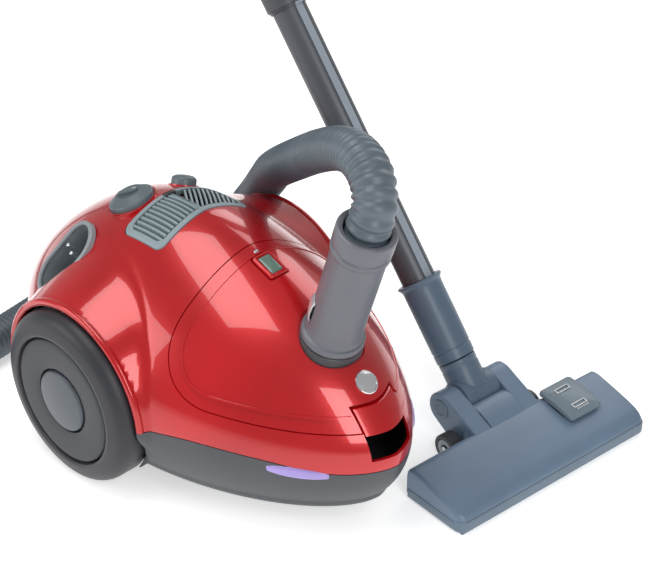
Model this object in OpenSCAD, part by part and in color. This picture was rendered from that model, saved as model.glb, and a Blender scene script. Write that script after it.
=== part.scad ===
// Canister vacuum cleaner: egg-shaped dust-bag canister, stretch hose, two-piece wand and floor head.
// +X is the nose of the canister, +Z is up and the floor is z = 0. All sizes are millimetres.

/* [Canister body] */
// Length of the body from its widest section to the nose
body_front = 216; // [200:1:240]
// Length of the body from its widest section to the tail
body_rear = 194; // [180:1:210]
// Half of the body's greatest width
body_half = 124; // [118:1:150]
// Height of the underside above the floor
body_low = 29; // [29:1:34]
// Height of the widest section
body_waist = 91; // [88:1:100]
// Height of the roof
body_top = 219; // [215:1:240]
// Height of the joint between the base pan and the upper shells
base_joint = 81; // [78:1:84]
// Thickness of the moulded shells
shell_wall = 3; // [2.4:0.1:3.6]
// Gap between the lid and the rear housing
lid_gap = 1; // [0.8:0.1:1.4]
// Height of the lid's lower edge at its rear corner
lid_low = 119; // [112:1:124]
// Place of the lid's rear edge
lid_back = 42; // [40:1:48]
// Radius of the lid's lower rear corner
lid_corner = 56; // [40:1:60]

/* [Wheels] */
// Radius of the large rear wheels
wheel_r = 78; // [72:1:82]
// Width of the large rear wheels
wheel_w = 34; // [28:1:36]
// Distance between the outer faces of the rear wheels
track_out = 280; // [276:1:320]
// Place of the rear axle
axle_x = -37; // [-45:1:-30]
// Radius of the rear axle stubs
axle_r = 6; // [5:0.1:7]
// Clearance round the wheels
wheel_clear = 3; // [2.5:0.1:4]
// Radius of the caster wheel
caster_r = 13; // [11:0.5:13]
// Place of the caster's swivel
caster_x = 108; // [95:1:115]
// Distance of the caster axle behind its swivel
caster_trail = 11; // [8:1:14]

/* [Hose inlet] */
// Place of the inlet on the lid
inlet_x = 142; // [135:1:146]
// Height of the inlet's mouth
inlet_z = 162; // [158:1:166]
// Forward lean of the inlet from vertical
inlet_lean = 18; // [16:1:20]
// Length of the hose coupling above the lid
coupling_len = 123; // [100:1:130]
// Outer radius of the hose coupling
coupling_r = 22.5; // [21:0.1:23.5]
// Outer radius of the hose
hose_r = 18; // [16:0.1:18.5]

/* [Roof] */
// Length of the exhaust grille along the body
grille_x = 48; // [40:1:52]
// Width of the exhaust grille
grille_y = 100; // [80:1:104]
// Centre of the exhaust grille
grille_at = -29; // [-32:1:-27]
// Radius of the power dial
dial_r = 20; // [16:0.5:21]
// Radius of the cord rewind button
rewind_r = 11; // [9:0.5:12]

/* [Wand and floor head] */
// Radius of the wand tubes
wand_r = 15.5; // [14:0.1:16]
// Lean of the wand from vertical
wand_lean = 37.8; // [34:0.1:41]
// Length of the lower tube that shows
lower_tube = 300; // [280:1:400]
// Length of the upper tube that shows
upper_tube = 250; // [240:1:350]
// Radius of the curve in the handle
handle_bend = 90; // [80:1:100]
// Place of the floor head's pivot along the canister
head_x = 160; // [155:1:190]
// Place of the floor head's pivot to the side of the canister
head_y = 158; // [156:1:200]
// Turn of the floor head about the vertical
head_yaw = -5.2; // [-8:0.1:0]
// Length of the floor head
head_len = 222; // [210:1:280]
// Distance from the pivot to the rear edge of the floor head
head_rear = 38; // [36:1:42]
// Distance from the pivot to the front edge of the floor head
head_front = 106; // [100:1:120]
// Height of the floor head at its rear edge
head_high = 33; // [31:1:36]

/* [Fits] */
// Radial clearance of a part that turns on a pin
run_fit = 0.05; // [0.03:0.01:0.08]
// Clearance between parts that move past each other
move_gap = 0.6; // [0.5:0.1:0.8]

/* [Hidden] */

eps = 0.01;
crown_pow = 1.62;
nose_pow = 1.66;
tail_pow = 2.2;
base_taper = 0.83;
base_pow = 2.2;
lean_back = -0.17;
around = 48;

// Place of the canister's centre: the whole object's box, cords apart, is centred on the origin
corner_r = 8;
head_half = head_len / 2;
far_x = head_x + cos(head_yaw) * (head_front - corner_r) - sin(head_yaw) * (head_half - corner_r) + corner_r;
far_y = head_y + max(sin(head_yaw) * (head_front - corner_r) + cos(head_yaw) * (head_half - corner_r) + corner_r,
  sin(head_yaw) * head_rear + cos(head_yaw) * head_half);
bend_turn = 85;
grip_len = 78;
cuff_len = 42;
cuff_r = 21.5;
wand_dir = [-sin(wand_lean), 0, cos(wand_lean)];
pivot_z = 36;
sleeve_from = 34;
sleeve_len = 76;
wand_from = sleeve_from + sleeve_len;
wand_len = lower_tube + upper_tube;
bend_from = [head_x, head_y, pivot_z] + wand_dir * (wand_from + wand_len);
bend_centre = bend_from + handle_bend * [-cos(wand_lean), 0, -sin(wand_lean)];
grip_lean = wand_lean + bend_turn;
grip_dir = [-sin(grip_lean), 0, cos(grip_lean)];
grip_from = bend_centre + handle_bend * [cos(grip_lean), 0, sin(grip_lean)];
cuff_from = grip_from + grip_len * grip_dir;
hose_end = cuff_from + cuff_len * grip_dir;
near_x = hose_end[0] - cuff_r * abs(cos(grip_lean));
body_x = -(far_x + near_x) / 2;
body_y = -(far_y - track_out / 2) / 2;

// Body surface: stacked egg-shaped sections, inset by i
function crown(t) = pow(max(0, 1 - pow(t, crown_pow)), 1 / crown_pow);
function belly(t) = 1 - (1 - base_taper) * pow(t, base_pow);
function size_at(z, i) = z >= body_waist
  ? crown(min(1, (z - body_waist) / (body_top - i - body_waist)))
  : belly((body_waist - z) / (body_waist - body_low));
function lobe(c, n) = sign(c) * pow(abs(c), 2 / n);
function egg_point(a, z, i) = let (c = cos(a), s = size_at(z, i), n = c > 0 ? nose_pow : tail_pow,
  l = (c > 0 ? body_front : body_rear) - i)
  [lean_back * (z - body_waist) + s * l * lobe(c, n), s * (body_half - i) * lobe(sin(a), n), z];
function crown_z(f, i) = body_waist + (body_top - i - body_waist) * sin(f);

// How far out a point is: below 1 inside the body and above 1 outside it
function depth(p) = let (s = max(0.001, size_at(p[2], 0)), x = p[0] - lean_back * (p[2] - body_waist),
  l = x > 0 ? body_front : body_rear, n = x > 0 ? nose_pow : tail_pow)
  pow(abs(x) / (l * s), n) + pow(abs(p[1]) / (body_half * s), n);
function roof_z(x, y, lo = body_waist, hi = body_top, n = 24) = n == 0 ? (lo + hi) / 2
  : let (m = (lo + hi) / 2) depth([x, y, m]) < 1 ? roof_z(x, y, m, hi, n - 1) : roof_z(x, y, lo, m, n - 1);
function side_y(x, z, lo = 0, hi = body_half, n = 24) = n == 0 ? (lo + hi) / 2
  : let (m = (lo + hi) / 2) depth([x, m, z]) < 1 ? side_y(x, z, m, hi, n - 1) : side_y(x, z, lo, m, n - 1);
function normal_at(p) = let (d = 0.5,
  g = [depth(p + [d, 0, 0]) - depth(p - [d, 0, 0]), depth(p + [0, d, 0]) - depth(p - [0, d, 0]),
  depth(p + [0, 0, d]) - depth(p - [0, 0, d])]) g / norm(g);

module at_body() { translate([body_x, body_y, 0]) children(); }
module at_head() { translate([body_x + head_x, body_y + head_y, 0]) rotate([0, 0, head_yaw]) children(); }
module at_pivot() { translate([body_x + head_x, body_y + head_y, pivot_z]) rotate([0, -wand_lean, 0]) children(); }

// Stands children on the body's surface at p, with their +Z along its normal and their +Y level
module on_flank(p) {
  n = normal_at(p);
  translate(p) rotate([0, acos(n[2]), atan2(n[1], n[0])]) children();
}
// The same, turned so that +X lies along the body
module on_surface(p) {
  n = normal_at(p);
  on_flank(p) rotate([0, 0, -atan2(n[1], n[0])]) children();
}
module on_roof(x, y) { on_surface([x, y, roof_z(x, y)]) children(); }
module across(r, len, from = 0) { translate([0, from, 0]) rotate([-90, 0, 0]) cylinder(r = r, h = len, $fn = 64); }
module tube(r, bore, len) {
  difference() {
    cylinder(r = r, h = len, $fn = 64);
    translate([0, 0, -1]) cylinder(r = bore, h = len + 2, $fn = 64);
  }
}

// Solid through a list of rings of equal count, closed by a flat cap at each end
module stack(rings) {
  n = len(rings[0]);
  m = len(rings);
  sides = [for (j = [0:m - 2]) for (i = [0:n - 1]) let (k = (i + 1) % n)
    each [[j * n + i, (j + 1) * n + i, (j + 1) * n + k], [j * n + i, (j + 1) * n + k, j * n + k]]];
  first = [for (i = [0:n - 1]) i];
  last = [for (i = [n - 1:-1:0]) (m - 1) * n + i];
  polyhedron([for (r = rings) each r], concat([first], sides, [last]), 10);
}
function egg_ring(z, i) = [for (k = [0:around - 1]) egg_point(k * 360 / around, z, i)];
crown_steps = [for (k = [0:10]) k * 8.6];
module upper_egg(i, from) {
  zs = concat([from], [for (f = crown_steps) if (crown_z(f, i) > from + 1) crown_z(f, i)]);
  stack([for (z = zs) egg_ring(z, i)]);
}
module lower_egg(i, from, to) { stack([for (k = [0:4]) egg_ring(from + (to - from) * k / 4, i)]); }

// Everything forward of and above the lid's joint line, shrunk by g
module lid_zone(g) {
  r = lid_corner - g;
  translate([lid_back, 0, lid_low]) rotate([90, 0, 0]) linear_extrude(2 * body_half + 60, center = true)
    rotate(-3.5) union() {
      translate([g + r, g + r]) circle(r, $fn = 64);
      translate([g + r, g]) square([300, 200]);
      translate([g, g + r]) square([300, 200]);
    }
}

/* Wheel wells and the arches over them */
well_r = wheel_r + wheel_clear;
wheel_in = track_out / 2 - wheel_w;
well_face = wheel_in - 5;
arch_out = body_half + 1;
arch_wall = 3.4;
arch_slope = 0.4;
module at_axle() { translate([axle_x, 0, wheel_r]) children(); }
module both_sides() { children(); mirror([0, 1, 0]) children(); }
module well_cut() { both_sides() at_axle() across(well_r, 90, well_face); }
module arch_blank() {
  len = arch_out - well_face + shell_wall;
  both_sides() at_axle() translate([0, arch_out, 0]) rotate([90, 0, 0])
    cylinder(r1 = well_r + arch_wall, r2 = well_r + arch_wall + arch_slope * len, h = len, $fn = 64);
}
module above(z) { translate([-400, -300, z]) cube([900, 600, 400]); }
module below(z) { translate([-400, -300, z - 400]) cube([900, 600, 400]); }

module base_pan() {
  color("#63656b") at_body() difference() {
    union() {
      difference() {
        lower_egg(0, body_low, base_joint - 0.4);
        lower_egg(shell_wall, body_low + shell_wall, base_joint + 5);
      }
      intersection() {
        lower_egg(0.2, body_low, base_joint - 0.4);
        both_sides() at_axle() across(well_r + 3, 90, well_face - shell_wall);
      }
      translate([caster_x, 0, body_low]) cylinder(r = boss_r, h = boss_h, $fn = 48);
    }
    well_cut();
    translate([caster_x, 0, 0]) cylinder(r = caster_pin_r + run_fit, h = body_low + boss_h + 5, $fn = 48);
    both_sides() at_axle() across(axle_r, 30, well_face - 15);
  }
}
boss_r = 10;
boss_h = 22;
caster_pin_r = 4;

module dome_shell() {
  difference() {
    upper_egg(0, base_joint);
    upper_egg(shell_wall, base_joint - 2);
  }
}
module grille_zone(g) { translate([grille_at, 0, body_top]) cube([grille_x + 2 * g, grille_y + 2 * g, 120], center = true); }
module rear_housing() {
  color("#c4070c") at_body() difference() {
    union() {
      difference() {
        dome_shell();
        lid_zone(-lid_gap / 2);
      }
      intersection() {
        arch_blank();
        above(base_joint);
        difference() {
          union() {
            upper_egg(0.2, base_joint);
            translate([0, 0, 0]) both_sides() at_axle() across(well_r + 60, 60, body_half - 60);
          }
          both_sides() at_axle() across(well_r + 60, 60, arch_out);
          both_sides() translate([-300, -1, 0]) cube([600, well_face - shell_wall + 1, 400]);
        }
      }
    }
    well_cut();
    grille_zone(move_gap);
    on_roof(dial_x, dial_y) cylinder(r = dial_r + move_gap, h = 40, center = true, $fn = 64);
    on_roof(rewind_x, rewind_y) cylinder(r = rewind_r + move_gap, h = 40, center = true, $fn = 64);
    at_recess() recess_slab(recess_r, 60, -30);
    finger_pocket();
    both_sides() at_axle() across(axle_r, 30, well_face - 15);
  }
}
dial_x = -76;
dial_y = -19;
rewind_x = -70;
rewind_y = 33;
latch_w = 44;
pocket_high = 22;
module finger_pocket() {
  translate([body_front - 45, -latch_w / 2, lid_low - 10 - pocket_high]) cube([80, latch_w, pocket_high + 0.6]);
}

module lid() {
  color("#c4070c") at_body() difference() {
    intersection() {
      dome_shell();
      lid_zone(lid_gap / 2);
    }
    at_inlet() translate([0, 0, -60]) cylinder(r = socket_r, h = 120, $fn = 64);
    on_roof(window_x, 0) translate([-window_l / 2, -window_w / 2, -10]) cube([window_l, window_w, 30]);
    latch_zone(move_gap);
  }
}
window_x = 72;
window_l = 26;
window_w = 20;
latch_low = lid_low - 12;
latch_top = lid_low + 8;
module latch_zone(g) {
  translate([body_front - 70, -latch_w / 2 - g, latch_low - g]) cube([120, latch_w + 2 * g, latch_top - latch_low + 2 * g]);
}

module lid_gasket() {
  color("#2e2f33") at_body() intersection() {
    difference() {
      upper_egg(shell_wall + 0.2, base_joint);
      upper_egg(shell_wall + 3.2, base_joint - 2);
    }
    difference() {
      lid_zone(lid_gap);
      lid_zone(lid_gap + 3.5);
    }
    difference() {
      translate([hinge_x + goose_r + 4, -200, 0]) cube([400, 400, 400]);
      translate([150, -latch_w / 2 - 4, 0]) cube([200, latch_w + 8, 400]);
    }
  }
}

// Goose-neck hinge: the arms curl under the roof's edge to a pin inside the housing
hinge_x = lid_back - 22;
hinge_z = roof_z(hinge_x, 0) - 11;
hinge_pin_r = 2.5;
hinge_arm_y = 9;
hinge_arm_w = 8;
goose_r = 30;
module at_hinge() { translate([hinge_x, 0, hinge_z]) children(); }
module lid_hinge_arms() {
  color("#3a3b40") at_body() at_hinge() both_sides() difference() {
    translate([0, hinge_arm_y + hinge_arm_w / 2, 0]) rotate([90, 0, 0]) union() {
      rotate([0, 0, -62]) rotate_extrude(angle = 59.5, $fn = 96) translate([goose_r - 2.2, 0]) square([5, hinge_arm_w]);
      rotate([0, 0, -60]) translate([2, -3, 0.5]) cube([goose_r - 2, 6, hinge_arm_w - 1]);
      translate([0, 0, 0.25]) cylinder(r = 4.4, h = hinge_arm_w - 0.5, $fn = 48);
    }
    across(hinge_pin_r + run_fit, 80, -10);
  }
}
module lid_hinge_pin() {
  color("#b8babd") at_body() at_hinge() across(hinge_pin_r, 2 * hinge_arm_y + 2 * hinge_arm_w + 8, -hinge_arm_y - hinge_arm_w - 4);
}
module hinge_bracket() {
  color("#4a4b52") at_body() at_hinge() both_sides() difference() {
    union() {
      translate([-5, hinge_arm_y + hinge_arm_w / 2 + move_gap, -5]) cube([9, 4, 7]);
      translate([-5, hinge_arm_y - hinge_arm_w / 2 - move_gap - 4, -5]) cube([9, 4, 7]);
      translate([-14, hinge_arm_y - hinge_arm_w / 2 - move_gap - 4, -5]) cube([9.01, 2 * 4 + hinge_arm_w + 2 * move_gap, 7]);
    }
    across(hinge_pin_r, 80, -10);
  }
}

latch_x = egg_point(0, latch_top, 0)[0] - 1.8;
latch_pin_r = 1.2;
module at_latch() { translate([latch_x, 0, latch_top - 3]) children(); }
module lid_latch() {
  color("#b30a10") at_body() difference() {
    union() {
      intersection() {
        difference() {
          upper_egg(-1, base_joint);
          upper_egg(shell_wall - 0.5, base_joint - 2);
        }
        latch_zone(-0.4);
      }
      at_latch() across(2.6, latch_w - 2, 1 - latch_w / 2);
      at_latch() translate([-4, -12, -6]) cube([5, 24, 7]);
    }
    at_latch() across(latch_pin_r + run_fit, 60, -30);
  }
}
module latch_pin() {
  color("#b8babd") at_body() at_latch() across(latch_pin_r, latch_w + 6, -latch_w / 2 - 3);
}

socket_r = coupling_r + 4.5;
socket_bore = coupling_r - 0.5;
spigot_len = 26;
module at_inlet() { translate([inlet_x, 0, inlet_z]) rotate([0, inlet_lean, 0]) children(); }
module inlet_socket() {
  color("#3c3d43") at_body() at_inlet() union() {
    translate([0, 0, -34]) tube(socket_r, socket_bore, 37);
    translate([0, 0, -34]) tube(socket_r + 5, socket_r - 1, 3);
  }
}
module inlet_seal() {
  color("#202124") at_body() at_inlet() translate([0, 0, -40]) tube(socket_r, socket_bore - 3, 6);
}
module hose_coupling() {
  color("#6f7078") at_body() at_inlet() difference() {
    union() {
      translate([0, 0, -spigot_len]) cylinder(r = socket_bore - run_fit, h = spigot_len + 4, $fn = 64);
      translate([0, 0, 3 + move_gap]) cylinder(r = coupling_r, h = coupling_len - 3 - move_gap, $fn = 64);
      translate([0, 0, coupling_len - 9]) cylinder(r = coupling_r + 1.2, h = 9, $fn = 64);
      translate([0, 0, 3 + move_gap]) cylinder(r1 = coupling_r + 2, r2 = coupling_r, h = 10, $fn = 64);
    }
    translate([0, 0, -spigot_len - 1]) cylinder(r = hose_r - 1, h = 300, $fn = 64);
    translate([0, 0, coupling_len - 32]) cylinder(r = hose_r + 0.4, h = 40, $fn = 64);
    rotate([0, 0, 225]) translate([coupling_r - 4.5, -7, 20]) cube([10, 14, 20]);
  }
}
module coupling_release() {
  color("#b9bcc2") at_body() at_inlet() rotate([0, 0, 225])
    translate([coupling_r - 2.4, -7 + move_gap / 2, 20 + move_gap / 2]) cube([4.6, 14 - move_gap, 20 - move_gap]);
}

// Hose route, from the coupling over the lid, down behind the canister, round its tail and up to the handle.
// The points are in the canister's own frame, and the first and last are where the hose is gripped.
hose_start = [inlet_x, 0, inlet_z] + (coupling_len - 30) * [sin(inlet_lean), 0, cos(inlet_lean)];
front_route = [[180.3, 0, 279.9], [182, 5, 298], [170, 14, 313], [144, 27, 316], [108, 45, 302], [64, 66, 275],
  [15, 90, 241], [-38, 115, 202], [-76, 141, 167], [-108, 157, 133], [-140, 168, 96]];
rear_route = [[-140.32, 168.11, 95.63], [-147.98, 170.74, 86.77], [-170, 174, 62], [-198, 168, 34], [-220, 146, 19], [-231, 108, 18.5], [-236, 60, 18.5],
  [-235, 0, 18.5], [-228, -50, 18.5], [-222, -95, 18.5], [-224, -140, 18.5], [-244, -182, 18.5], [-284, -208, 18.5],
  [-335, -212, 18.5], [-386, -196, 18.5], [-430, -164, 18.5], [-466, -118, 18.5], [-496, -62, 18.5],
  [-521, -4, 20], [-544, 50, 36], [-564, 90, 72], [-579, 116, 122], [-588, 136, 180], [-592, 149, 246],
  [-590, 156, 314], [-580, 158, 378], [-559, 158, 434], [-527, 158, 476], [-491, 158, 498]];
hose_sides = 10;
function unit(v) = v / norm(v);
function tangent(p, i) = unit(p[min(i + 1, len(p) - 1)] - p[max(i - 1, 0)]);
function side_of(t) = unit(cross(t, abs(t[2]) > 0.9 ? [0, 1, 0] : [0, 0, 1]));
function carried(p, i, s) = let (t = tangent(p, i)) unit(s - (s * t) * t);
function frames(p, i, s) = i == len(p) ? [] : let (c = carried(p, i, s)) concat([c], frames(p, i + 1, c));
module sweep(p, r) {
  f = frames(p, 0, side_of(tangent(p, 0)));
  stack([for (i = [0:len(p) - 1]) let (t = tangent(p, i), s = f[i], u = cross(t, s))
    [for (k = [0:hose_sides - 1]) let (a = -k * 360 / hose_sides) p[i] + r * (cos(a) * s + sin(a) * u)]]);
}
module hose_front() { color("#4b5a63") at_body() sweep(concat([hose_start], front_route), hose_r); }
module hose_rear() { color("#4b5a63") at_body() sweep(concat(rear_route, [hose_end - 8 * grip_dir]), hose_r); }

slat_pitch = 8;
slat_gap = 3.6;
module exhaust_grille() {
  color("#8fa6ad") at_body() difference() {
    intersection() {
      upper_egg(0, base_joint);
      grille_zone(-move_gap);
    }
    upper_egg(shell_wall + 1, base_joint - 2);
    for (k = [-5:5]) translate([grille_at - grille_x / 2 + 8, k * slat_pitch - slat_gap / 2, 100])
      cube([grille_x - 16, slat_gap, 200]);
  }
}
filter_top = roof_z(grille_at, grille_y / 2) - 9;
module exhaust_filter() {
  color("#d9d9d2") at_body() translate([grille_at - grille_x / 2 + 3, -grille_y / 2 + 6, filter_top - 12])
    cube([grille_x - 6, grille_y - 12, 12]);
}

module power_dial() {
  color("#5e6a70") at_body() on_roof(dial_x, dial_y) union() {
    translate([0, 0, -3]) cylinder(r = dial_r, h = 7, $fn = 64);
    translate([0, 0, 4 - eps]) cylinder(r1 = dial_r, r2 = dial_r - 9, h = 5.5, $fn = 64);
    translate([0, 0, 9]) cylinder(r = 8, h = 2.5, $fn = 48);
    translate([0, 0, -16]) cylinder(r = 3, h = 14, $fn = 32);
  }
}
module dial_switch() {
  color("#1f2022") at_body() on_roof(dial_x, dial_y) difference() {
    translate([-12, -12, -26]) cube([24, 24, 14]);
    translate([0, 0, -20]) cylinder(r = 3 + run_fit, h = 10, $fn = 32);
  }
}
rewind_travel = 3.5;
module rewind_button() {
  color("#5e6a70") at_body() on_roof(rewind_x, rewind_y) union() {
    translate([0, 0, -4]) cylinder(r = rewind_r, h = 10, $fn = 64);
    translate([0, 0, 6 - eps]) cylinder(r1 = rewind_r, r2 = rewind_r - 4, h = 3, $fn = 64);
    translate([0, 0, -16]) cylinder(r = 2.5, h = 13, $fn = 32);
  }
}
module rewind_spring() {
  color("#c9cbce") at_body() on_roof(rewind_x, rewind_y) translate([0, 0, -15]) tube(5.5, 4, 10.5);
}

// The cord recess lies on the rear right flank, with its long way down the slope
recess_at = [-100, -side_y(-100, 163), 163];
recess_r = 20;
recess_half = 15;
recess_deep = 40;
recess_wall = 2;
recess_turn = 62;
module at_recess() {
  on_surface(recess_at) rotate([0, 0, recess_turn]) children();
}
module recess_slab(r, h, z) {
  translate([0, 0, z]) union() {
    both_ends() cylinder(r = r, h = h, $fn = 48);
    translate([-recess_half, -r, 0]) cube([2 * recess_half, 2 * r, h]);
  }
}
module both_ends() { translate([recess_half, 0, 0]) children(); translate([-recess_half, 0, 0]) children(); }
module cord_recess() {
  color("#7d878c") at_body() at_recess() difference() {
    union() {
      recess_slab(recess_r - 0.3, recess_deep + 1, -recess_deep);
      recess_slab(recess_r + 2, 1.5, 1);
    }
    recess_slab(recess_r - 0.3 - recess_wall, recess_deep + 10, -recess_deep + recess_wall);
    translate([plug_at, 0, -recess_deep - 5]) cylinder(r = 5, h = 20, $fn = 32);
  }
}
plug_at = 9;
plug_r = 8.5;
pin_r = 2;
pin_gap = 12.7;
pin_len = 19;
pin_neck_r = 1.4;
pin_neck = 0.6;
plug_low = -recess_deep + recess_wall + 1;
plug_top = plug_low + 22;
module mains_plug() {
  color("#17181a") at_body() at_recess() translate([plug_at, 0, plug_low]) difference() {
    union() {
      cylinder(r = plug_r, h = 22, $fn = 48);
      translate([-5, -11, 14]) cube([10, 22, 8]);
      translate([0, 0, -16]) cylinder(r = 3.5, h = 17, $fn = 32);
    }
    for (s = [-1, 1]) translate([0, s * pin_gap / 2, 12]) cylinder(r = pin_neck_r, h = 20, $fn = 32);
  }
}
module plug_pins() {
  color("#c9cbce") at_body() at_recess() translate([plug_at, 0, plug_low + 12])
    for (s = [-1, 1]) translate([0, s * pin_gap / 2, 0]) union() {
      cylinder(r = pin_neck_r, h = 10 + pin_neck, $fn = 32);
      translate([0, 0, 10 + pin_neck]) cylinder(r = pin_r, h = pin_len - pin_neck, $fn = 32);
    }
}

reel_x = -108;
reel_low = body_low + 14;
reel_r = 47;
reel_w = 34;
module cord_reel() {
  color("#e3e3df") at_body() translate([reel_x, 0, reel_low]) difference() {
    union() {
      cylinder(r = reel_r, h = 2, $fn = 64);
      translate([0, 0, reel_w - 2]) cylinder(r = reel_r, h = 2, $fn = 64);
      cylinder(r = 22, h = reel_w, $fn = 64);
    }
    translate([0, 0, -1]) cylinder(r = 5 + run_fit, h = reel_w + 2, $fn = 48);
  }
}
module wound_cord() {
  color("#17181a") at_body() translate([reel_x, 0, reel_low + 2.3]) tube(reel_r - 6, 22.2, reel_w - 4.6);
}
module reel_spindle() {
  color("#8d9094") at_body() translate([reel_x, 0, body_low + shell_wall]) union() {
    cylinder(r = 5, h = reel_w + 20, $fn = 48);
    cylinder(r = 14, h = reel_low - body_low - shell_wall - move_gap, $fn = 48);
  }
}

motor_x = -62;
motor_z = 122;
motor_y = 12;
motor_r = 44;
motor_len = 62;
module at_motor() { translate([motor_x, motor_y, motor_z]) rotate([0, 90, 0]) children(); }
module motor_housing() {
  color("#9fa3a8") at_body() at_motor() difference() {
    cylinder(r = motor_r, h = motor_len, $fn = 64);
    translate([0, 0, 3]) cylinder(r = motor_r - 3, h = motor_len - 6, $fn = 64);
    translate([0, 0, motor_len - 6]) cylinder(r = 20, h = 10, $fn = 48);
    translate([0, 0, -5]) cylinder(r = 6 + run_fit, h = 10, $fn = 48);
  }
}
module motor_mounts() {
  color("#232427") at_body() at_motor() union() {
    translate([0, 0, -6]) tube(18, 10, 5.8);
    translate([0, 0, motor_len + 0.2]) tube(motor_r, 30, bulkhead_x - motor_x - motor_len - 0.4);
  }
}
module motor_rotor() {
  color("#a9762f") at_body() at_motor() union() {
    translate([0, 0, -5]) cylinder(r = 6, h = motor_len - 3, $fn = 48);
    translate([0, 0, 10]) cylinder(r = 26, h = 26, $fn = 48);
    translate([0, 0, 44]) cylinder(r = 38, h = 8, $fn = 64);
  }
}

bulkhead_x = 8;
bulkhead_top = 188;
module bulkhead() {
  color("#55575d") at_body() difference() {
    intersection() {
      union() {
        upper_egg(shell_wall + 0.3, base_joint);
        lower_egg(shell_wall + 0.3, body_low + shell_wall, base_joint);
      }
      translate([bulkhead_x, -well_face + shell_wall + 0.5, 0]) cube([3, 2 * (well_face - shell_wall - 0.5), bulkhead_top]);
    }
    translate([bulkhead_x - 2, motor_y - 26, motor_z - 26]) cube([10, 52, 52]);
  }
}
module motor_filter() {
  color("#e8e6da") at_body() translate([bulkhead_x + 3.3, motor_y - 32, motor_z - 32]) cube([6, 64, 64]);
}

bag_from = bulkhead_x + 14;
bag_z = 84;
module dust_bag() {
  color("#d8cdb4") at_body() union() {
    hull() {
      translate([bag_from, -48, bag_z - 24]) cube([1, 96, 60]);
      translate([bag_from + 30, -66, bag_z - 31]) cube([50, 132, 66]);
      translate([148, -34, bag_z - 22]) cube([8, 68, 38]);
    }
    at_inlet() translate([0, 0, -70]) cylinder(r = 24, h = 27, $fn = 48);
  }
}
module bag_collar() {
  color("#c2a878") at_body() at_inlet() translate([0, 0, -44]) difference() {
    translate([-34, -34, 0]) cube([68, 68, 3]);
    translate([0, 0, -1]) cylinder(r = socket_bore - 3, h = 6, $fn = 48);
  }
}

module rear_axles() {
  color("#b8babd") at_body() both_sides() at_axle() across(axle_r, wheel_w + 8, well_face - 12);
}
wheel_body_r = 57;
cap_r = 28;
module wheel_parts_hub() {
  at_axle() difference() {
    union() {
      across(wheel_body_r, wheel_w - 4, wheel_in);
      across(wheel_body_r - 2, wheel_w - 2, wheel_in);
    }
    across(axle_r + run_fit, wheel_w - 2, wheel_in - 5);
    across(cap_r + 0.2, 30, wheel_in + wheel_w - 8);
  }
}
module wheel_parts_tyre() {
  shoulder = 14;
  at_axle() translate([0, wheel_in, 0]) rotate([-90, 0, 0]) difference() {
    rotate_extrude($fn = 96) difference() {
      union() {
        square([wheel_r, wheel_w - shoulder]);
        square([wheel_r - shoulder, wheel_w - 1]);
        translate([wheel_r - shoulder, wheel_w - shoulder - 1]) circle(shoulder, $fn = 48);
      }
      square([wheel_body_r + 0.2, 2 * wheel_w]);
    }
  }
}
module wheel_parts_cap() {
  at_axle() union() {
    across(cap_r, 8, wheel_in + wheel_w - 8);
  }
}
module wheel_left() { color("#43444b") at_body() wheel_parts_hub(); }
module tyre_left() { color("#4a4b52") at_body() wheel_parts_tyre(); }
module hub_cap_left() { color("#65707b") at_body() wheel_parts_cap(); }
module wheel_right() { color("#43444b") at_body() mirror([0, 1, 0]) wheel_parts_hub(); }
module tyre_right() { color("#4a4b52") at_body() mirror([0, 1, 0]) wheel_parts_tyre(); }
module hub_cap_right() { color("#65707b") at_body() mirror([0, 1, 0]) wheel_parts_cap(); }

caster_w = 14;
caster_top = body_low - move_gap;
module caster_fork() {
  color("#3b3c41") at_body() translate([caster_x, 0, 0]) difference() {
    union() {
      translate([0, 0, caster_top - 1.6]) cylinder(r = caster_trail + 9, h = 1.6, $fn = 48);
      translate([0, 0, caster_top - eps]) cylinder(r = caster_pin_r, h = boss_h, $fn = 48);
      both_sides() translate([-caster_trail - 6, caster_w / 2 + move_gap, caster_r - 5]) cube([14, 3, caster_top - caster_r + 4.9]);
    }
    translate([-caster_trail, 0, caster_r]) across(2, 60, -30);
  }
}
module caster_wheel() {
  color("#55565c") at_body() translate([caster_x - caster_trail, 0, caster_r]) difference() {
    across(caster_r, caster_w, -caster_w / 2);
    across(2 + run_fit, caster_w + 2, -caster_w / 2 - 1);
  }
}
module caster_axle() {
  color("#b8babd") at_body() translate([caster_x - caster_trail, 0, caster_r]) across(2, caster_w + 7, -caster_w / 2 - 3.5);
}

module bag_window() {
  color("#a5090d") at_body() on_roof(window_x, 0) difference() {
    translate([-window_l / 2 + 0.3, -window_w / 2 + 0.3, -8]) cube([window_l - 0.6, window_w - 0.6, 14]);
    translate([-9, -6, 3]) cube([18, 12, 10]);
  }
}
module window_lens() {
  color("#cfe8dc") at_body() on_roof(window_x, 0) translate([-8.8, -5.8, 3]) cube([17.6, 11.6, 4]);
}
lens_x = 164;
lens_z = 70;
module side_lenses() {
  y = side_y(lens_x, lens_z);
  color("#a692d8") at_body() both_sides() on_flank([lens_x, y, lens_z]) translate([-5, -24, 0.2]) cube([10, 48, 2.4]);
}
badge_z = 138;
module nose_badge() {
  x = egg_point(0, badge_z, 0)[0];
  color("#d9dbde") at_body() on_surface([x, 0, badge_z]) translate([0, 0, 0.3]) cylinder(r = 10, h = 2, $fn = 48);
}
module base_screws() {
  color("#8d9094") at_body() for (x = [-120, 70, 150]) both_sides()
    translate([x, x > 100 ? 45 : x < 0 ? 48 : 62, body_low - 0.9]) cylinder(r = 3.5, h = 2.5, $fn = 32);
}

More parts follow.
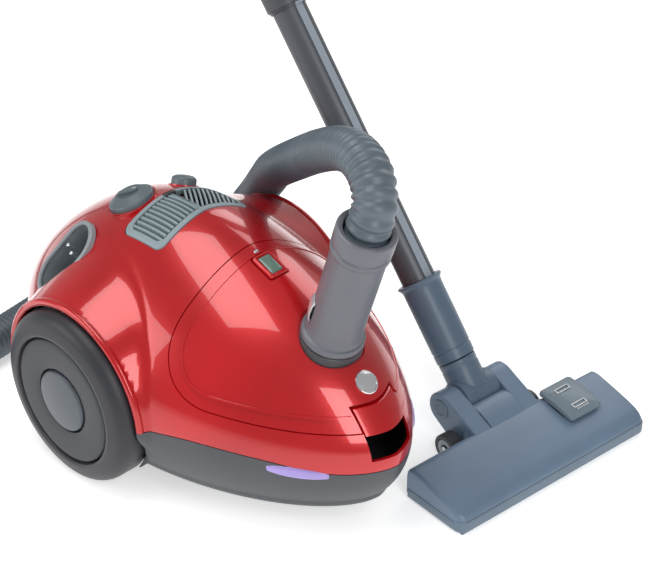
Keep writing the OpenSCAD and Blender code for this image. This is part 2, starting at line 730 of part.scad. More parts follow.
// Neck, wand and handle, along the wand's own axis from the floor head's pivot
sleeve_r = 18;
elbow_r = 17;
module neck_sleeve() {
  color("#667a8b") at_pivot() translate([0, 0, sleeve_from]) difference() {
    union() {
      cylinder(r1 = elbow_r + 0.6, r2 = sleeve_r, h = sleeve_len, $fn = 64);
      translate([0, 0, sleeve_len - 3]) cylinder(r = sleeve_r + 2.4, h = 3, $fn = 64);
    }
    translate([0, 0, -1]) cylinder(r = 11 + run_fit, h = 14, $fn = 64);
    translate([0, 0, 12]) cylinder(r = wand_r - 2, h = 200, $fn = 64);
    translate([0, 0, 30]) cylinder(r = wand_r, h = 200, $fn = 64);
  }
}
socket_depth = 40;
module wand_lower() {
  color("#4c4f55") at_pivot() translate([0, 0, sleeve_from + 30.2])
    tube(wand_r, wand_r - 1.6, sleeve_len - 30.2 + lower_tube);
}
module wand_upper() {
  color("#4c4f55") at_pivot() translate([0, 0, wand_from + lower_tube]) union() {
    translate([0, 0, 0.2]) tube(wand_r, wand_r - 1.6, upper_tube - 0.2);
    translate([0, 0, 0.2]) tube(wand_r + 1.8, wand_r - 1, 6);
    translate([0, 0, -socket_depth]) tube(wand_r + 1.8, wand_r + 0.02, socket_depth + 1);
  }
}
module bend_arc(r) {
  translate(bend_centre) rotate([90, 0, 0]) rotate([0, 0, wand_lean])
    rotate_extrude(angle = bend_turn, $fn = 128) translate([handle_bend, 0]) circle(r, $fn = 48);
}
module at_bend(z) { translate(bend_from) rotate([0, -wand_lean, 0]) translate([0, 0, z]) children(); }
module at_grip(z) { translate(grip_from) rotate([0, -grip_lean, 0]) translate([0, 0, z]) children(); }
module handle() {
  color("#55585e") at_body() difference() {
    union() {
      at_bend(-socket_depth) cylinder(r = wand_r + 2.4, h = socket_depth + 5, $fn = 64);
      bend_arc(wand_r + 1.5);
      at_grip(-1) cylinder(r = wand_r + 1.6, h = grip_len + 2, $fn = 64);
      at_grip(grip_len) cylinder(r = cuff_r, h = cuff_len, $fn = 64);
    }
    at_bend(-socket_depth - 1) cylinder(r = wand_r + 0.02, h = socket_depth + 1.2, $fn = 64);
    at_bend(-1) cylinder(r = wand_r - 2.1, h = 2, $fn = 64);
    bend_arc(wand_r - 2);
    at_grip(-1) cylinder(r = wand_r - 2.1, h = grip_len + 12, $fn = 64);
    at_grip(grip_len + 8) cylinder(r = hose_r + 0.3, h = cuff_len, $fn = 64);
    at_grip(20) translate([wand_r - 6, -5, 0]) cube([20, 10, 16]);
  }
}
slider_travel = 10;
module air_slider() {
  color("#8b97a1") at_body() translate(grip_from) rotate([0, -grip_lean, 0]) intersection() {
    difference() {
      cylinder(r = wand_r + 4, h = 60, $fn = 64);
      cylinder(r = wand_r + 1.8, h = 60, $fn = 64);
    }
    translate([0, -8, 14]) cube([60, 16, 26]);
  }
}

// Floor head, in its own frame: +X is its front edge and Y runs along it
trunnion_r = 5;
elbow_half = 19;
module neck_elbow() {
  color("#6d8092") union() {
    at_pivot() translate([0, 0, 10]) cylinder(r = elbow_r, h = sleeve_from - 10 - move_gap, $fn = 64);
    at_pivot() translate([0, 0, sleeve_from - move_gap - eps]) cylinder(r = 11, h = 11, $fn = 64);
    at_head() translate([0, 0, pivot_z]) difference() {
      across(elbow_r, 2 * elbow_half, -elbow_half);
      across(trunnion_r + run_fit, 100, -50);
    }
  }
}
top_front = head_front - 9;
yoke_half = 38;
module head_cover() {
  color("#7488a0") at_head() union() {
    difference() {
      head_block(0, 6.2);
      head_block(2.6, 0);
      translate([pedal_u - 2, pedal_v - pedal_w / 2 - move_gap, 20]) cube([pedal_l * 0.6, pedal_w + 2 * move_gap, 40]);
    }
    both_sides() difference() {
      hull() {
        translate([0, 0, pivot_z]) rotate([-90, 0, 0]) translate([0, 0, elbow_half + move_gap])
          cylinder(r = 15, h = yoke_half - elbow_half - move_gap, $fn = 32);
        translate([roller_u, 0, roller_r]) rotate([-90, 0, 0]) translate([0, 0, elbow_half + move_gap])
          cylinder(r = 6, h = yoke_half - elbow_half - move_gap, $fn = 32);
        translate([head_rear + 1, elbow_half + move_gap, 8]) cube([0.6, yoke_half - elbow_half - move_gap + 6, head_high - 11]);
      }
      translate([roller_u, 0, roller_r]) across(roller_r + 1.5, 80, roller_v - roller_w / 2 - 2);
      translate([roller_u, 0, roller_r]) across(axle_pin_r, 120, -60);
    }
    for (s = [-1, 1]) translate([pedal_u + 8, pedal_v + s * (pedal_w / 2 + move_gap + 2) - 2, 19]) cube([12, 4, 9]);
    both_sides() translate([0, 0, pivot_z]) across(trunnion_r, yoke_half - elbow_half + 8, elbow_half - 8);
  }
}
module head_block(i, from) {
  lo = from > 0 ? from : -1;
  h = head_high - i;
  intersection() {
    rotate([90, 0, 0]) linear_extrude(head_len - 2 * i, center = true)
      polygon([[head_rear + i, lo], [head_rear + i, h - 3], [head_rear + i + 5, h], [top_front - i, h - 11],
        [head_front - i, 13], [head_front - i, lo]]);
    linear_extrude(100) union() {
      translate([head_rear - 20, -head_half + i]) square([head_front - head_rear - corner_r + 20 - i, head_len - 2 * i]);
      translate([head_rear - 20, -head_half + corner_r]) square([head_front - head_rear + 20, head_len - 2 * corner_r]);
      for (s = [-1, 1]) translate([head_front - corner_r, s * (head_half - corner_r)]) circle(corner_r - i, $fn = 48);
    }
  }
}
slot_half = 82;
module head_sole() {
  color("#5c6b78") at_head() difference() {
    translate([head_rear + 3, -head_half + 3, 0]) cube([head_front - head_rear - 6, head_len - 6, 6]);
    translate([head_rear + 22, -slot_half, -1]) cube([16, 2 * slot_half, 8]);
  }
}
roller_u = 22;
roller_v = 47;
roller_w = 12;
roller_r = 13;
axle_pin_r = 2.5;
module head_rollers() {
  color("#3a3c41") at_head() both_sides() translate([roller_u, roller_v, roller_r]) difference() {
    across(roller_r, roller_w, -roller_w / 2);
    across(axle_pin_r + run_fit, 80, -40);
  }
}
pedal_u = head_rear + 2;
pedal_v = 62;
pedal_w = 38;
pedal_l = 42;
pedal_pin_r = 1.5;
pedal_pin_z = head_high - 9;
module head_pedal() {
  color("#6f828b") at_head() difference() {
    union() {
      translate([pedal_u - 3, pedal_v - pedal_w / 2, head_high + 1.5]) rotate([0, 9, 0]) cube([pedal_l, pedal_w, 5.5]);
      translate([pedal_u + 10, pedal_v - 6, pedal_pin_z - 3]) cube([8, 12, head_high - pedal_pin_z + 5]);
    }
    translate([pedal_u + 14, 0, pedal_pin_z]) across(pedal_pin_r + run_fit, 200, 0);
  }
}
module head_pins() {
  color("#b8babd") at_head() {
    translate([pedal_u + 14, pedal_v, pedal_pin_z]) across(pedal_pin_r, pedal_w + 8, -pedal_w / 2 - 4);
    translate([roller_u, 0, roller_r]) across(axle_pin_r, 2 * roller_v + roller_w + 2, -roller_v - roller_w / 2 - 1);
  }
}

base_pan();
rear_housing();
lid();
lid_gasket();
lid_hinge_arms();
lid_hinge_pin();
hinge_bracket();
lid_latch();
latch_pin();
inlet_socket();
inlet_seal();
hose_coupling();
coupling_release();
hose_front();
hose_rear();
exhaust_grille();
exhaust_filter();
power_dial();
dial_switch();
rewind_button();
rewind_spring();
cord_recess();
mains_plug();
plug_pins();
cord_reel();
wound_cord();
reel_spindle();
motor_housing();
motor_mounts();
motor_rotor();
bulkhead();
motor_filter();
dust_bag();
bag_collar();
rear_axles();
wheel_right();
tyre_right();
hub_cap_right();
wheel_left();
tyre_left();
hub_cap_left();
caster_fork();
caster_wheel();
caster_axle();
bag_window();
window_lens();
side_lenses();
nose_badge();
base_screws();
neck_sleeve();
wand_lower();
wand_upper();
handle();
air_slider();
neck_elbow();
head_cover();
head_sole();
head_rollers();
head_pedal();
head_pins();
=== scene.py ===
import math
import bpy
import bmesh
import numpy as np
from mathutils import Matrix, Vector
from mathutils.bvhtree import BVHTree


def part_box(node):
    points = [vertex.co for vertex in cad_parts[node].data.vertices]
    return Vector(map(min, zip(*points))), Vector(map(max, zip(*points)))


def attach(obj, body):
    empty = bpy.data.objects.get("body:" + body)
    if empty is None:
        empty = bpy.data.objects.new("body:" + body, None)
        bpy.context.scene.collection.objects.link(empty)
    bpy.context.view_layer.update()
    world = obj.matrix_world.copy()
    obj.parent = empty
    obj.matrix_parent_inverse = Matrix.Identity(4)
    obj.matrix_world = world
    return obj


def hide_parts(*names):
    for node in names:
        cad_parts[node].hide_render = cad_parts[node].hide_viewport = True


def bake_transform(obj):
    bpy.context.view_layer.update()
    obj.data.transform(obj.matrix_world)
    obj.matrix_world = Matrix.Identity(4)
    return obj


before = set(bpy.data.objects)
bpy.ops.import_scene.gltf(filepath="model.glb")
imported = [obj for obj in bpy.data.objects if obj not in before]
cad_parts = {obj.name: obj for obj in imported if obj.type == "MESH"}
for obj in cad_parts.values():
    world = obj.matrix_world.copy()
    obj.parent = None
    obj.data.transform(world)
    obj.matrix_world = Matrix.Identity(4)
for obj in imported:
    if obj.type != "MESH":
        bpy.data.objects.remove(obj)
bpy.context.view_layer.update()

# ---------------------------------------------------------------- camera, floor and light
# The cleaner stands on a pale studio floor under two large soft boxes and a weak front fill.
# Places are in the canister's own frame: its widest section is at x = 0 and its middle at y = 0.
left_low, left_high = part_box("tyre_left")
right_low, right_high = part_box("tyre_right")
ORIGIN = Vector((
    (left_low[0] + left_high[0]) / 2 + 0.037,
    (left_high[1] + right_low[1]) / 2,
    0.0,
))


def at(x, y, z):
    """A point of the canister's frame, in millimetres, as a point of the row in metres."""
    return ORIGIN + Vector((x, y, z)) / 1000


view_line = Vector((math.cos(math.radians(33)) * math.sin(math.radians(45)),
                    -math.cos(math.radians(33)) * math.cos(math.radians(45)),
                    math.sin(math.radians(33))))
aim = at(30.9, 104.1, 107)
camera_data = bpy.data.cameras.new("camera")
camera_data.lens = 100.8
camera_data.sensor_width = 36
camera = bpy.data.objects.new("camera", camera_data)
camera.location = aim + view_line * 1.6
camera.rotation_euler = view_line.to_track_quat("Z", "Y").to_euler()
bpy.context.scene.collection.objects.link(camera)
bpy.context.scene.camera = camera

floor_mesh = bpy.data.meshes.new("floor")
floor_mesh.from_pydata([(-6, -6, 0), (6, -6, 0), (6, 6, 0), (-6, 6, 0)], [], [(0, 1, 2, 3)])
floor = bpy.data.objects.new("floor", floor_mesh)
bpy.context.scene.collection.objects.link(floor)
floor.location.z = -0.0004
floor_look = bpy.data.materials.new("studio_floor")
floor_look.use_nodes = True
floor_look.node_tree.nodes["Principled BSDF"].inputs["Base Color"].default_value = (0.93, 0.93, 0.93, 1)
floor_look.node_tree.nodes["Principled BSDF"].inputs["Roughness"].default_value = 0.75
floor_look.node_tree.nodes["Principled BSDF"].inputs["Emission Color"].default_value = (1, 1, 1, 1)
floor_look.node_tree.nodes["Principled BSDF"].inputs["Emission Strength"].default_value = 0.5
floor_mesh.materials.append(floor_look)

world = bpy.data.worlds.new("studio")
world.use_nodes = True
world.node_tree.nodes["Background"].inputs["Color"].default_value = (1, 1, 1, 1)
world.node_tree.nodes["Background"].inputs["Strength"].default_value = 0.36
bpy.context.scene.world = world
for name, place, size, power in (
    ("softbox_top", (-150, -250, 1250), (0.9, 0.5), 6),
    ("softbox_nose", (1000, -350, 700), (0.35, 0.8), 5),
    ("softbox_side", (-650, -1000, 650), (0.8, 0.6), 5),
    ("softbox_back", (-300, 1200, 900), (1.0, 0.7), 5),
):
    lamp_data = bpy.data.lights.new(name, "AREA")
    lamp_data.shape = "RECTANGLE"
    lamp_data.size, lamp_data.size_y = size
    lamp_data.energy = power
    lamp = bpy.data.objects.new(name, lamp_data)
    lamp.location = at(*place)
    lamp.rotation_euler = (lamp.location - at(20, 0, 150)).to_track_quat("Z", "Y").to_euler()
    bpy.context.scene.collection.objects.link(lamp)
bpy.context.scene.view_settings.view_transform = "Standard"


# ---------------------------------------------------------------- stretch hose
# A wound plastic hose: a stiff helical rib carries a thin bellows wall, and both ends are glued
# into cuffs. The front length is pulled open near the coupling; the rear length lies on the floor.
def finish_of(name, colour, rough, grain=900.0, bump=0.0004, spread=0.10, metal=0.0, coat=0.0,
              second=None, blotch=18.0, coat_rough=0.05, spec=0.5):
    """A moulded finish: colour drifts in soft blotches, and a fine grain breaks up gloss and surface."""
    look = bpy.data.materials.new(name)
    look.use_nodes = True
    nodes, links = look.node_tree.nodes, look.node_tree.links
    shader = nodes["Principled BSDF"]
    shader.inputs["Metallic"].default_value = metal
    shader.inputs["Coat Weight"].default_value = coat
    shader.inputs["Coat Roughness"].default_value = coat_rough
    shader.inputs["Specular IOR Level"].default_value = spec
    place = nodes.new("ShaderNodeTexCoord")
    cloud = nodes.new("ShaderNodeTexNoise")
    cloud.inputs["Scale"].default_value = blotch
    cloud.inputs["Detail"].default_value = 3
    speck = nodes.new("ShaderNodeTexNoise")
    speck.inputs["Scale"].default_value = grain
    speck.inputs["Detail"].default_value = 2
    for texture in (cloud, speck):
        links.new(place.outputs["Object"], texture.inputs["Vector"])
    ramp = nodes.new("ShaderNodeValToRGB")
    low = [c * (1 - spread) for c in colour]
    high = second or [min(1.0, c * (1 + spread)) for c in colour]
    ramp.color_ramp.elements[0].position = 0.32
    ramp.color_ramp.elements[0].color = (*low, 1)
    ramp.color_ramp.elements[1].position = 0.68
    ramp.color_ramp.elements[1].color = (*high, 1)
    links.new(cloud.outputs["Fac"], ramp.inputs["Fac"])
    links.new(ramp.outputs["Color"], shader.inputs["Base Color"])
    gloss = nodes.new("ShaderNodeMapRange")
    gloss.inputs["To Min"].default_value = max(0.02, rough - 0.06)
    gloss.inputs["To Max"].default_value = min(1.0, rough + 0.06)
    links.new(speck.outputs["Fac"], gloss.inputs["Value"])
    links.new(gloss.outputs["Result"], shader.inputs["Roughness"])
    relief = nodes.new("ShaderNodeBump")
    relief.inputs["Strength"].default_value = 0.35
    relief.inputs["Distance"].default_value = bump
    links.new(speck.outputs["Fac"], relief.inputs["Height"])
    links.new(relief.outputs["Normal"], shader.inputs["Normal"])
    return look


def smooth_path(points, step):
    """Even points, step apart, on a smooth curve through the given ones."""
    p = np.array([list(q) for q in points], float)
    p = np.vstack([2 * p[0] - p[1], p, 2 * p[-1] - p[-2]])
    dense = []
    for i in range(1, len(p) - 2):
        for t in np.linspace(0, 1, 24, endpoint=False):
            dense.append(0.5 * ((2 * p[i]) + (p[i + 1] - p[i - 1]) * t
                                + (2 * p[i - 1] - 5 * p[i] + 4 * p[i + 1] - p[i + 2]) * t * t
                                + (3 * p[i] - p[i - 1] - 3 * p[i + 1] + p[i + 2]) * t ** 3))
    dense.append(p[-2])
    dense = np.array(dense)
    run = np.concatenate([[0], np.cumsum(np.linalg.norm(np.diff(dense, axis=0), axis=1))])
    count = max(2, round(run[-1] / step) + 1)
    s = np.linspace(0, run[-1], count)
    return np.stack([np.interp(s, run, dense[:, k]) for k in range(3)], axis=1), run[-1]


def swept(path, radius_at, sides):
    """Verts and quads of a closed tube along path; radius_at gives the radius at each ring."""
    tangents = np.gradient(path, axis=0)
    tangents /= np.linalg.norm(tangents, axis=1)[:, None]
    side = np.cross(tangents[0], [0, 1, 0.2])
    verts, faces = [], []
    angles = np.linspace(0, 2 * math.pi, sides, endpoint=False)
    for i, (p, t) in enumerate(zip(path, tangents)):
        side = side - side.dot(t) * t
        side /= np.linalg.norm(side)
        up = np.cross(t, side)
        r = radius_at[i]
        verts.extend(p + r * (math.cos(a) * side + math.sin(a) * up) for a in angles)
    for i in range(len(path) - 1):
        for k in range(sides):
            m = (k + 1) % sides
            faces.append((i * sides + k, i * sides + m, (i + 1) * sides + m, (i + 1) * sides + k))
    faces.append(tuple(range(sides - 1, -1, -1)))
    faces.append(tuple((len(path) - 1) * sides + k for k in range(sides)))
    return verts, faces


def piece(name, verts, faces, look=None, smooth=35):
    """A new object at the origin, with its normals outwards and its creases sharp."""
    mesh = bpy.data.meshes.new(name)
    mesh.from_pydata([tuple(v) for v in verts], [], faces)
    made = bpy.data.objects.new(name, mesh)
    bpy.context.scene.collection.objects.link(made)
    tidy = bmesh.new()
    tidy.from_mesh(mesh)
    bmesh.ops.recalc_face_normals(tidy, faces=tidy.faces)
    tidy.to_mesh(mesh)
    tidy.free()
    if look:
        mesh.materials.append(look)
    mesh.shade_smooth()
    if smooth:
        mesh.set_sharp_from_angle(angle=math.radians(smooth))
    return made


HOSE_R = 18.0
hose_look = finish_of("hose_ribs", (0.080, 0.105, 0.128), 0.42, grain=500, spread=0.16, spec=0.6)
LEAN = math.radians(18)
inlet_axis = Vector((math.sin(LEAN), 0, math.cos(LEAN)))
hose_mouth = Vector((142, 0, 162)) + 93 * inlet_axis
front_route = [tuple(hose_mouth), (180, 1, 280), (182, 5, 298), (170, 14, 313), (144, 27, 316),
               (108, 45, 302), (64, 66, 275), (15, 89, 240), (-38, 113, 200), (-76, 138, 165),
               (-108, 156, 132), (-140, 168, 96)]
WAND_LEAN = math.radians(37.8)
GRIP_LEAN = math.radians(37.8 + 85)
PIVOT = Vector((160, 158, 36))
wand_line = Vector((-math.sin(WAND_LEAN), 0, math.cos(WAND_LEAN)))
grip_line = Vector((-math.sin(GRIP_LEAN), 0, math.cos(GRIP_LEAN)))
bend_start = PIVOT + wand_line * 660
bend_centre = bend_start + 90 * Vector((-math.cos(WAND_LEAN), 0, -math.sin(WAND_LEAN)))
grip_start = bend_centre + 90 * Vector((math.cos(GRIP_LEAN), 0, math.sin(GRIP_LEAN)))
hose_tail = grip_start + 120 * grip_line
rear_route = [(-140, 168, 96), (-170, 174, 62), (-198, 168, 34), (-220, 146, 19), (-231, 108, 18.5),
              (-236, 60, 18.5), (-235, 0, 18.5), (-228, -50, 18.5), (-222, -95, 18.5),
              (-224, -140, 18.5), (-244, -182, 18.5), (-284, -208, 18.5), (-335, -212, 18.5),
              (-386, -196, 18.5), (-430, -164, 18.5), (-466, -118, 18.5), (-496, -62, 18.5),
              (-521, -4, 20), (-544, 50, 36), (-564, 90, 72), (-579, 116, 122), (-588, 136, 180),
              (-592, 149, 246), (-590, 156, 314), (-580, 158, 378), (-559, 158, 434),
              (-527, 158, 476), (-491, 158, 498), tuple(hose_tail - 8 * grip_line)]
for hose_name, route, open_ribs in (("hose_front", front_route, True), ("hose_rear", rear_route, False)):
    RING = 1.05
    line, run = smooth_path(route, RING)
    travel = np.linspace(0, run, len(line))
    # the ribs stand further apart where the hose is pulled out of its coupling
    pitch = 5.2 + (3.4 * np.clip(1 - np.abs(travel - 40) / 190, 0, 1) if open_ribs else 0 * travel)
    phase = np.cumsum(np.full(len(line), run / (len(line) - 1)) / pitch)
    rib = 0.5 + 0.5 * np.cos(2 * math.pi * phase)
    radius = HOSE_R - 2.3 + 2.2 * rib ** 0.7
    verts, faces = swept(line, radius, 36)
    hose = piece(hose_name + "_ribbed", [at(*v) for v in verts], faces, hose_look, smooth=None)
    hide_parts(hose_name)
    followed = [tuple(at(*q)) for q in line[::6]]
    if tuple(at(*line[-1])) != followed[-1]:
        followed.append(tuple(at(*line[-1])))
    if open_ribs:
        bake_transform(hose)
    else:
        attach(hose, "chassis")

# ---------------------------------------------------------------- body shells
# Injection-moulded ABS shells, 3 mm thick: red metallic lacquer above and grained grey below. The
# rear housing screws to the base pan from below; the lid hinges at the roof and laps the housing.
WAIST, ROOF, UNDER = 91.0, 219.0, 29.0
NOSE, TAIL, HALF = 216.0, 194.0, 124.0
CROWN, NOSE_POW, TAIL_POW = 1.62, 1.66, 2.2
COLUMNS = 400


def seam_height(x):
    """The joint line between the red and the grey shell, which dips at the wheel and at the nose."""
    stations = [-230, -60, 20, 44, 82, 112, 150, 186, 216]
    heights = [81, 80, 75, 83, 88.5, 88.5, 86, 77.5, 76]
    return sum(np.interp(x + d, stations, heights) for d in range(-14, 15, 2)) / 15


def egg_rows(z, inset, flare):
    """Rings of the body at the heights z, one row per ring and one column per angle."""
    a = np.linspace(0, 2 * math.pi, COLUMNS, endpoint=False)[None, :]
    top = ROOF - inset
    t = np.clip((z - WAIST) / (top - WAIST), 0, 1)
    drop = np.clip((WAIST - z) / (WAIST - UNDER), 0, 1)
    size = np.where(z >= WAIST, (1 - t ** CROWN) ** (1 / CROWN), 1 - 0.17 * drop ** 2.2)
    c, s = np.cos(a), np.sin(a)
    power = np.where(c > 0, NOSE_POW, TAIL_POW)
    length = np.where(c > 0, NOSE, TAIL) - inset
    x = -0.17 * (z - WAIST) + size * length * np.sign(c) * np.abs(c) ** (2 / power)
    y = size * (HALF - inset) * np.abs(s) ** (2 / power)
    # the wheel arch swells out of the flank as a cone round the axle
    ring = np.hypot(x + 37, z - 78)
    arch = np.minimum(125.0, 125.0 - (ring - 84.4) / 0.4) - inset
    fade = np.clip((z - 58) / 22, 0, 1) if flare else 0 * z
    soft = 9.0
    h = np.clip(0.5 + 0.5 * (arch - y) / soft, 0, 1)
    swollen = y * (1 - h) + arch * h + 0.6 * soft * h * (1 - h)
    y = y + (swollen - y) * fade * fade * (3 - 2 * fade)
    return np.stack([x, y * np.sign(np.where(np.abs(s) < 1e-9, 0, s)), z + 0 * x], axis=2)


def shell_of(name, rows_out, rows_in, look):
    """A closed shell from two sets of rings, rim first and pole last."""
    rings = [*reversed(list(rows_in)), *rows_out]
    verts = [at(*v) for ring in rings for v in ring]
    faces = []
    n, m = COLUMNS, len(rings)
    for j in range(m - 1):
        for i in range(n):
            k = (i + 1) % n
            faces.append((j * n + i, j * n + k, (j + 1) * n + k, (j + 1) * n + i))
    for ring, row in ((rings[0], 0), (rings[-1], m - 1)):
        middle = len(verts)
        verts.append(at(*np.mean(ring, axis=0)))
        for i in range(n):
            k = (i + 1) % n
            faces.append((row * n + i, row * n + k, middle) if row else (row * n + k, row * n + i, middle))
    return piece(name, verts, faces, look, smooth=None)


def crown_rows(inset, rows, lift=0.0):
    """Rings from the joint line to the crown of the upper body."""
    a = np.linspace(0, 2 * math.pi, COLUMNS, endpoint=False)
    c = np.cos(a)
    x = np.where(c > 0, NOSE * np.abs(c) ** (2 / NOSE_POW), -TAIL * np.abs(c) ** (2 / TAIL_POW))
    foot = seam_height(x)[None, :] + lift
    f = np.linspace(0, 1, rows)[:, None]
    lower = 9
    t = np.sin(np.clip((f * rows - lower) / (rows - lower), 0, 1) * math.pi / 2 * 0.9985) ** (2 / CROWN)
    height = WAIST + (ROOF - inset - WAIST) * t + 0 * foot
    climb = np.clip(f * rows / lower, 0, 1)
    return egg_rows(np.where(f * rows < lower, foot + (WAIST - foot) * climb, height), inset, True)


def prism(name, outline, low, high, place=None):
    """A straight prism on a 2D outline, in millimetres, then set in place by a matrix."""
    place = place or Matrix.Identity(4)
    n = len(outline)
    verts = [place @ Vector((x, y, z)) for z in (low, high) for x, y in outline]
    faces = [tuple(range(n - 1, -1, -1)), tuple(range(n, 2 * n))]
    faces += [(i, (i + 1) % n, n + (i + 1) % n, n + i) for i in range(n)]
    return piece(name, [at(*v) for v in verts], faces, None, smooth=None)


def round_box(x0, x1, y0, y1, r, steps=8):
    """A rectangle with rounded corners."""
    out = []
    for cx, cy, start in ((x1 - r, y1 - r, 0), (x0 + r, y1 - r, 90), (x0 + r, y0 + r, 180), (x1 - r, y0 + r, 270)):
        for k in range(steps + 1):
            a = math.radians(start + 90 * k / steps)
            out.append((cx + r * math.cos(a), cy + r * math.sin(a)))
    return out


def circle(r, n=96):
    return [(r * math.cos(2 * math.pi * k / n), r * math.sin(2 * math.pi * k / n)) for k in range(n)]


def lid_outline(gap):
    """The lid's joint line seen from the side: up the rear, round a corner, then forward along the flank."""
    r = 56 - gap
    points = [(gap + r + 300, gap), (gap + r + 300, gap + 240), (gap, gap + 240)]
    points += [(gap + r - r * math.cos(a), gap + r - r * math.sin(a))
               for a in np.linspace(0, math.pi / 2, 40)]
    turn = math.radians(-3.5)
    return [(42 + x * math.cos(turn) - y * math.sin(turn), 119 + x * math.sin(turn) + y * math.cos(turn))
            for x, y in points]


FLANK = Matrix(((1, 0, 0, 0), (0, 0, -1, 0), (0, 1, 0, 0), (0, 0, 0, 1)))


def carve(target, tool, how="DIFFERENCE", keep=False):
    """Cuts target with tool."""
    step = target.modifiers.new("cut", "BOOLEAN")
    step.object, step.operation, step.solver = tool, how, "MANIFOLD"
    flat = bpy.data.meshes.new_from_object(target.evaluated_get(bpy.context.evaluated_depsgraph_get()))
    target.modifiers.clear()
    old, target.data = target.data, flat
    flat.name = target.name
    bpy.data.meshes.remove(old)
    if not keep:
        bpy.data.objects.remove(tool)


def settle_normals(target, source, reach=0.00004):
    """Gives a cut shell the normals of the uncut one, so that gloss runs clean up to every edge."""
    tree = BVHTree.FromObject(source, bpy.context.evaluated_depsgraph_get())
    mesh, base = target.data, source.data
    corner = [v.normal.copy() for v in base.vertices]
    mesh.shade_smooth()
    normals = [None] * len(mesh.loops)
    found = {}
    for poly in mesh.polygons:
        for index in poly.loop_indices:
            v = mesh.loops[index].vertex_index
            if v not in found:
                spot, _, face, gap = tree.find_nearest(mesh.vertices[v].co)
                if gap < reach:
                    ids = base.polygons[face].vertices
                    weights = [1 / ((base.vertices[i].co - spot).length + 1e-7) for i in ids]
                    found[v] = sum((corner[i] * w for i, w in zip(ids, weights)), Vector()).normalized()
                else:
                    found[v] = None
            near = found[v]
            normals[index] = near if near is not None and near.dot(poly.normal) > 0.8 else poly.normal
    mesh.normals_split_custom_set(normals)


def body_normal(x, y, z):
    """The outward direction of the plain body at a point."""
    def fill(px, py, pz):
        t = (pz - WAIST) / (ROOF - WAIST)
        size = max(0.001, (1 - min(1, max(0, t)) ** CROWN) ** (1 / CROWN) if pz >= WAIST
                   else 1 - 0.17 * ((WAIST - pz) / (WAIST - UNDER)) ** 2.2)
        px += 0.17 * (pz - WAIST)
        n = NOSE_POW if px > 0 else TAIL_POW
        return (abs(px) / ((NOSE if px > 0 else TAIL) * size)) ** n + (abs(py) / (HALF * size)) ** n
    d = 0.5
    return Vector((fill(x + d, y, z) - fill(x - d, y, z), fill(x, y + d, z) - fill(x, y - d, z),
                   fill(x, y, z + d) - fill(x, y, z - d))).normalized()


def stand_on(x, y, z, level=False, turn=0.0):
    """A frame on the body's surface, +Z along its normal; +X runs along the body unless it lies level."""
    n = body_normal(x, y, z)
    heading = math.atan2(n.y, n.x)
    m = Matrix.Translation((x, y, z)) @ Matrix.Rotation(heading, 4, "Z") @ Matrix.Rotation(math.acos(n.z), 4, "Y")
    return m if level else m @ Matrix.Rotation(math.radians(turn) - heading, 4, "Z")


red_look = finish_of("red_metallic_lacquer", (0.45, 0.003, 0.006), 0.24, grain=2600, bump=0.00002,
                     spread=0.10, metal=0.25, coat=0.8, spec=0.35, second=(0.55, 0.006,
                             0.010), blotch=9, coat_rough=0.03)
whole = shell_of("uncut_body", crown_rows(0, 96), crown_rows(3, 30), red_look)

rear = bpy.data.objects.new("rear_housing_shell", whole.data.copy())
bpy.context.scene.collection.objects.link(rear)
carve(rear, prism("lid_space", lid_outline(-0.5), -300, 300, FLANK))
for side in (-1, 1):
    well = Matrix.Translation((-37, side * 151, 78)) @ FLANK
    carve(rear, prism("well", circle(81, 160), -50, 50, well))
GRILLE = (-53.6, -4.4, -50.6, 50.6)
carve(rear, prism("grille_space", round_box(*GRILLE, 8), 150, 260))
DIAL = (-76, -19, 206.03)
BUTTON = (-70, 33, 203.13)
RECESS = (-100, -75.14, 163)
carve(rear, prism("dial_space", circle(20.6), -20, 30, stand_on(*DIAL)))
carve(rear, prism("button_space", circle(11.6, 64), -20, 30, stand_on(*BUTTON)))
stadium = [(15 + 20 * math.cos(a), 20 * math.sin(a)) for a in np.linspace(-math.pi / 2, math.pi / 2, 32)]
stadium += [(-x, -y) for x, y in stadium]
carve(rear, prism("recess_space", stadium, -30, 40, stand_on(*RECESS, turn=62)))
carve(rear, prism("pocket_space", round_box(160, 260, -22, 22, 5), 86.5, 109))
settle_normals(rear, whole)
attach(rear, "chassis")
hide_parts("rear_housing")

# a rolled lip follows the edge of each wheel arch
for side, name in ((-1, "right"), (1, "left")):
    edge = [at(-37 + 83.6 * math.cos(a), side * 122.6, 78 + 83.6 * math.sin(a))
            for a in np.radians(np.linspace(3.5, 176.5, 120))]
    verts, faces = swept(np.array([list(q) for q in edge]), np.full(len(edge), 0.0034), 18)
    lip = piece("arch_lip_" + name, verts, faces, red_look, smooth=60)
    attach(lip, "chassis")

lid = bpy.data.objects.new("lid_shell", whole.data.copy())
bpy.context.scene.collection.objects.link(lid)
carve(lid, prism("lid_form", lid_outline(0.5), -300, 300, FLANK), "INTERSECT")
INLET = Matrix.Translation((142, 0, 162)) @ Matrix.Rotation(LEAN, 4, "Y")
carve(lid, prism("inlet_space", circle(26.4), -70, 60, INLET))
WINDOW = stand_on(72, 0, 198.2)
carve(lid, prism("window_space", round_box(-13, 13, -10, 10, 3), -10, 30, WINDOW))
carve(lid, prism("latch_space", round_box(150, 300, -22.6, 22.6, 3), 90, 127.6))
settle_normals(lid, whole)
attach(lid, "lid")
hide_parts("lid")

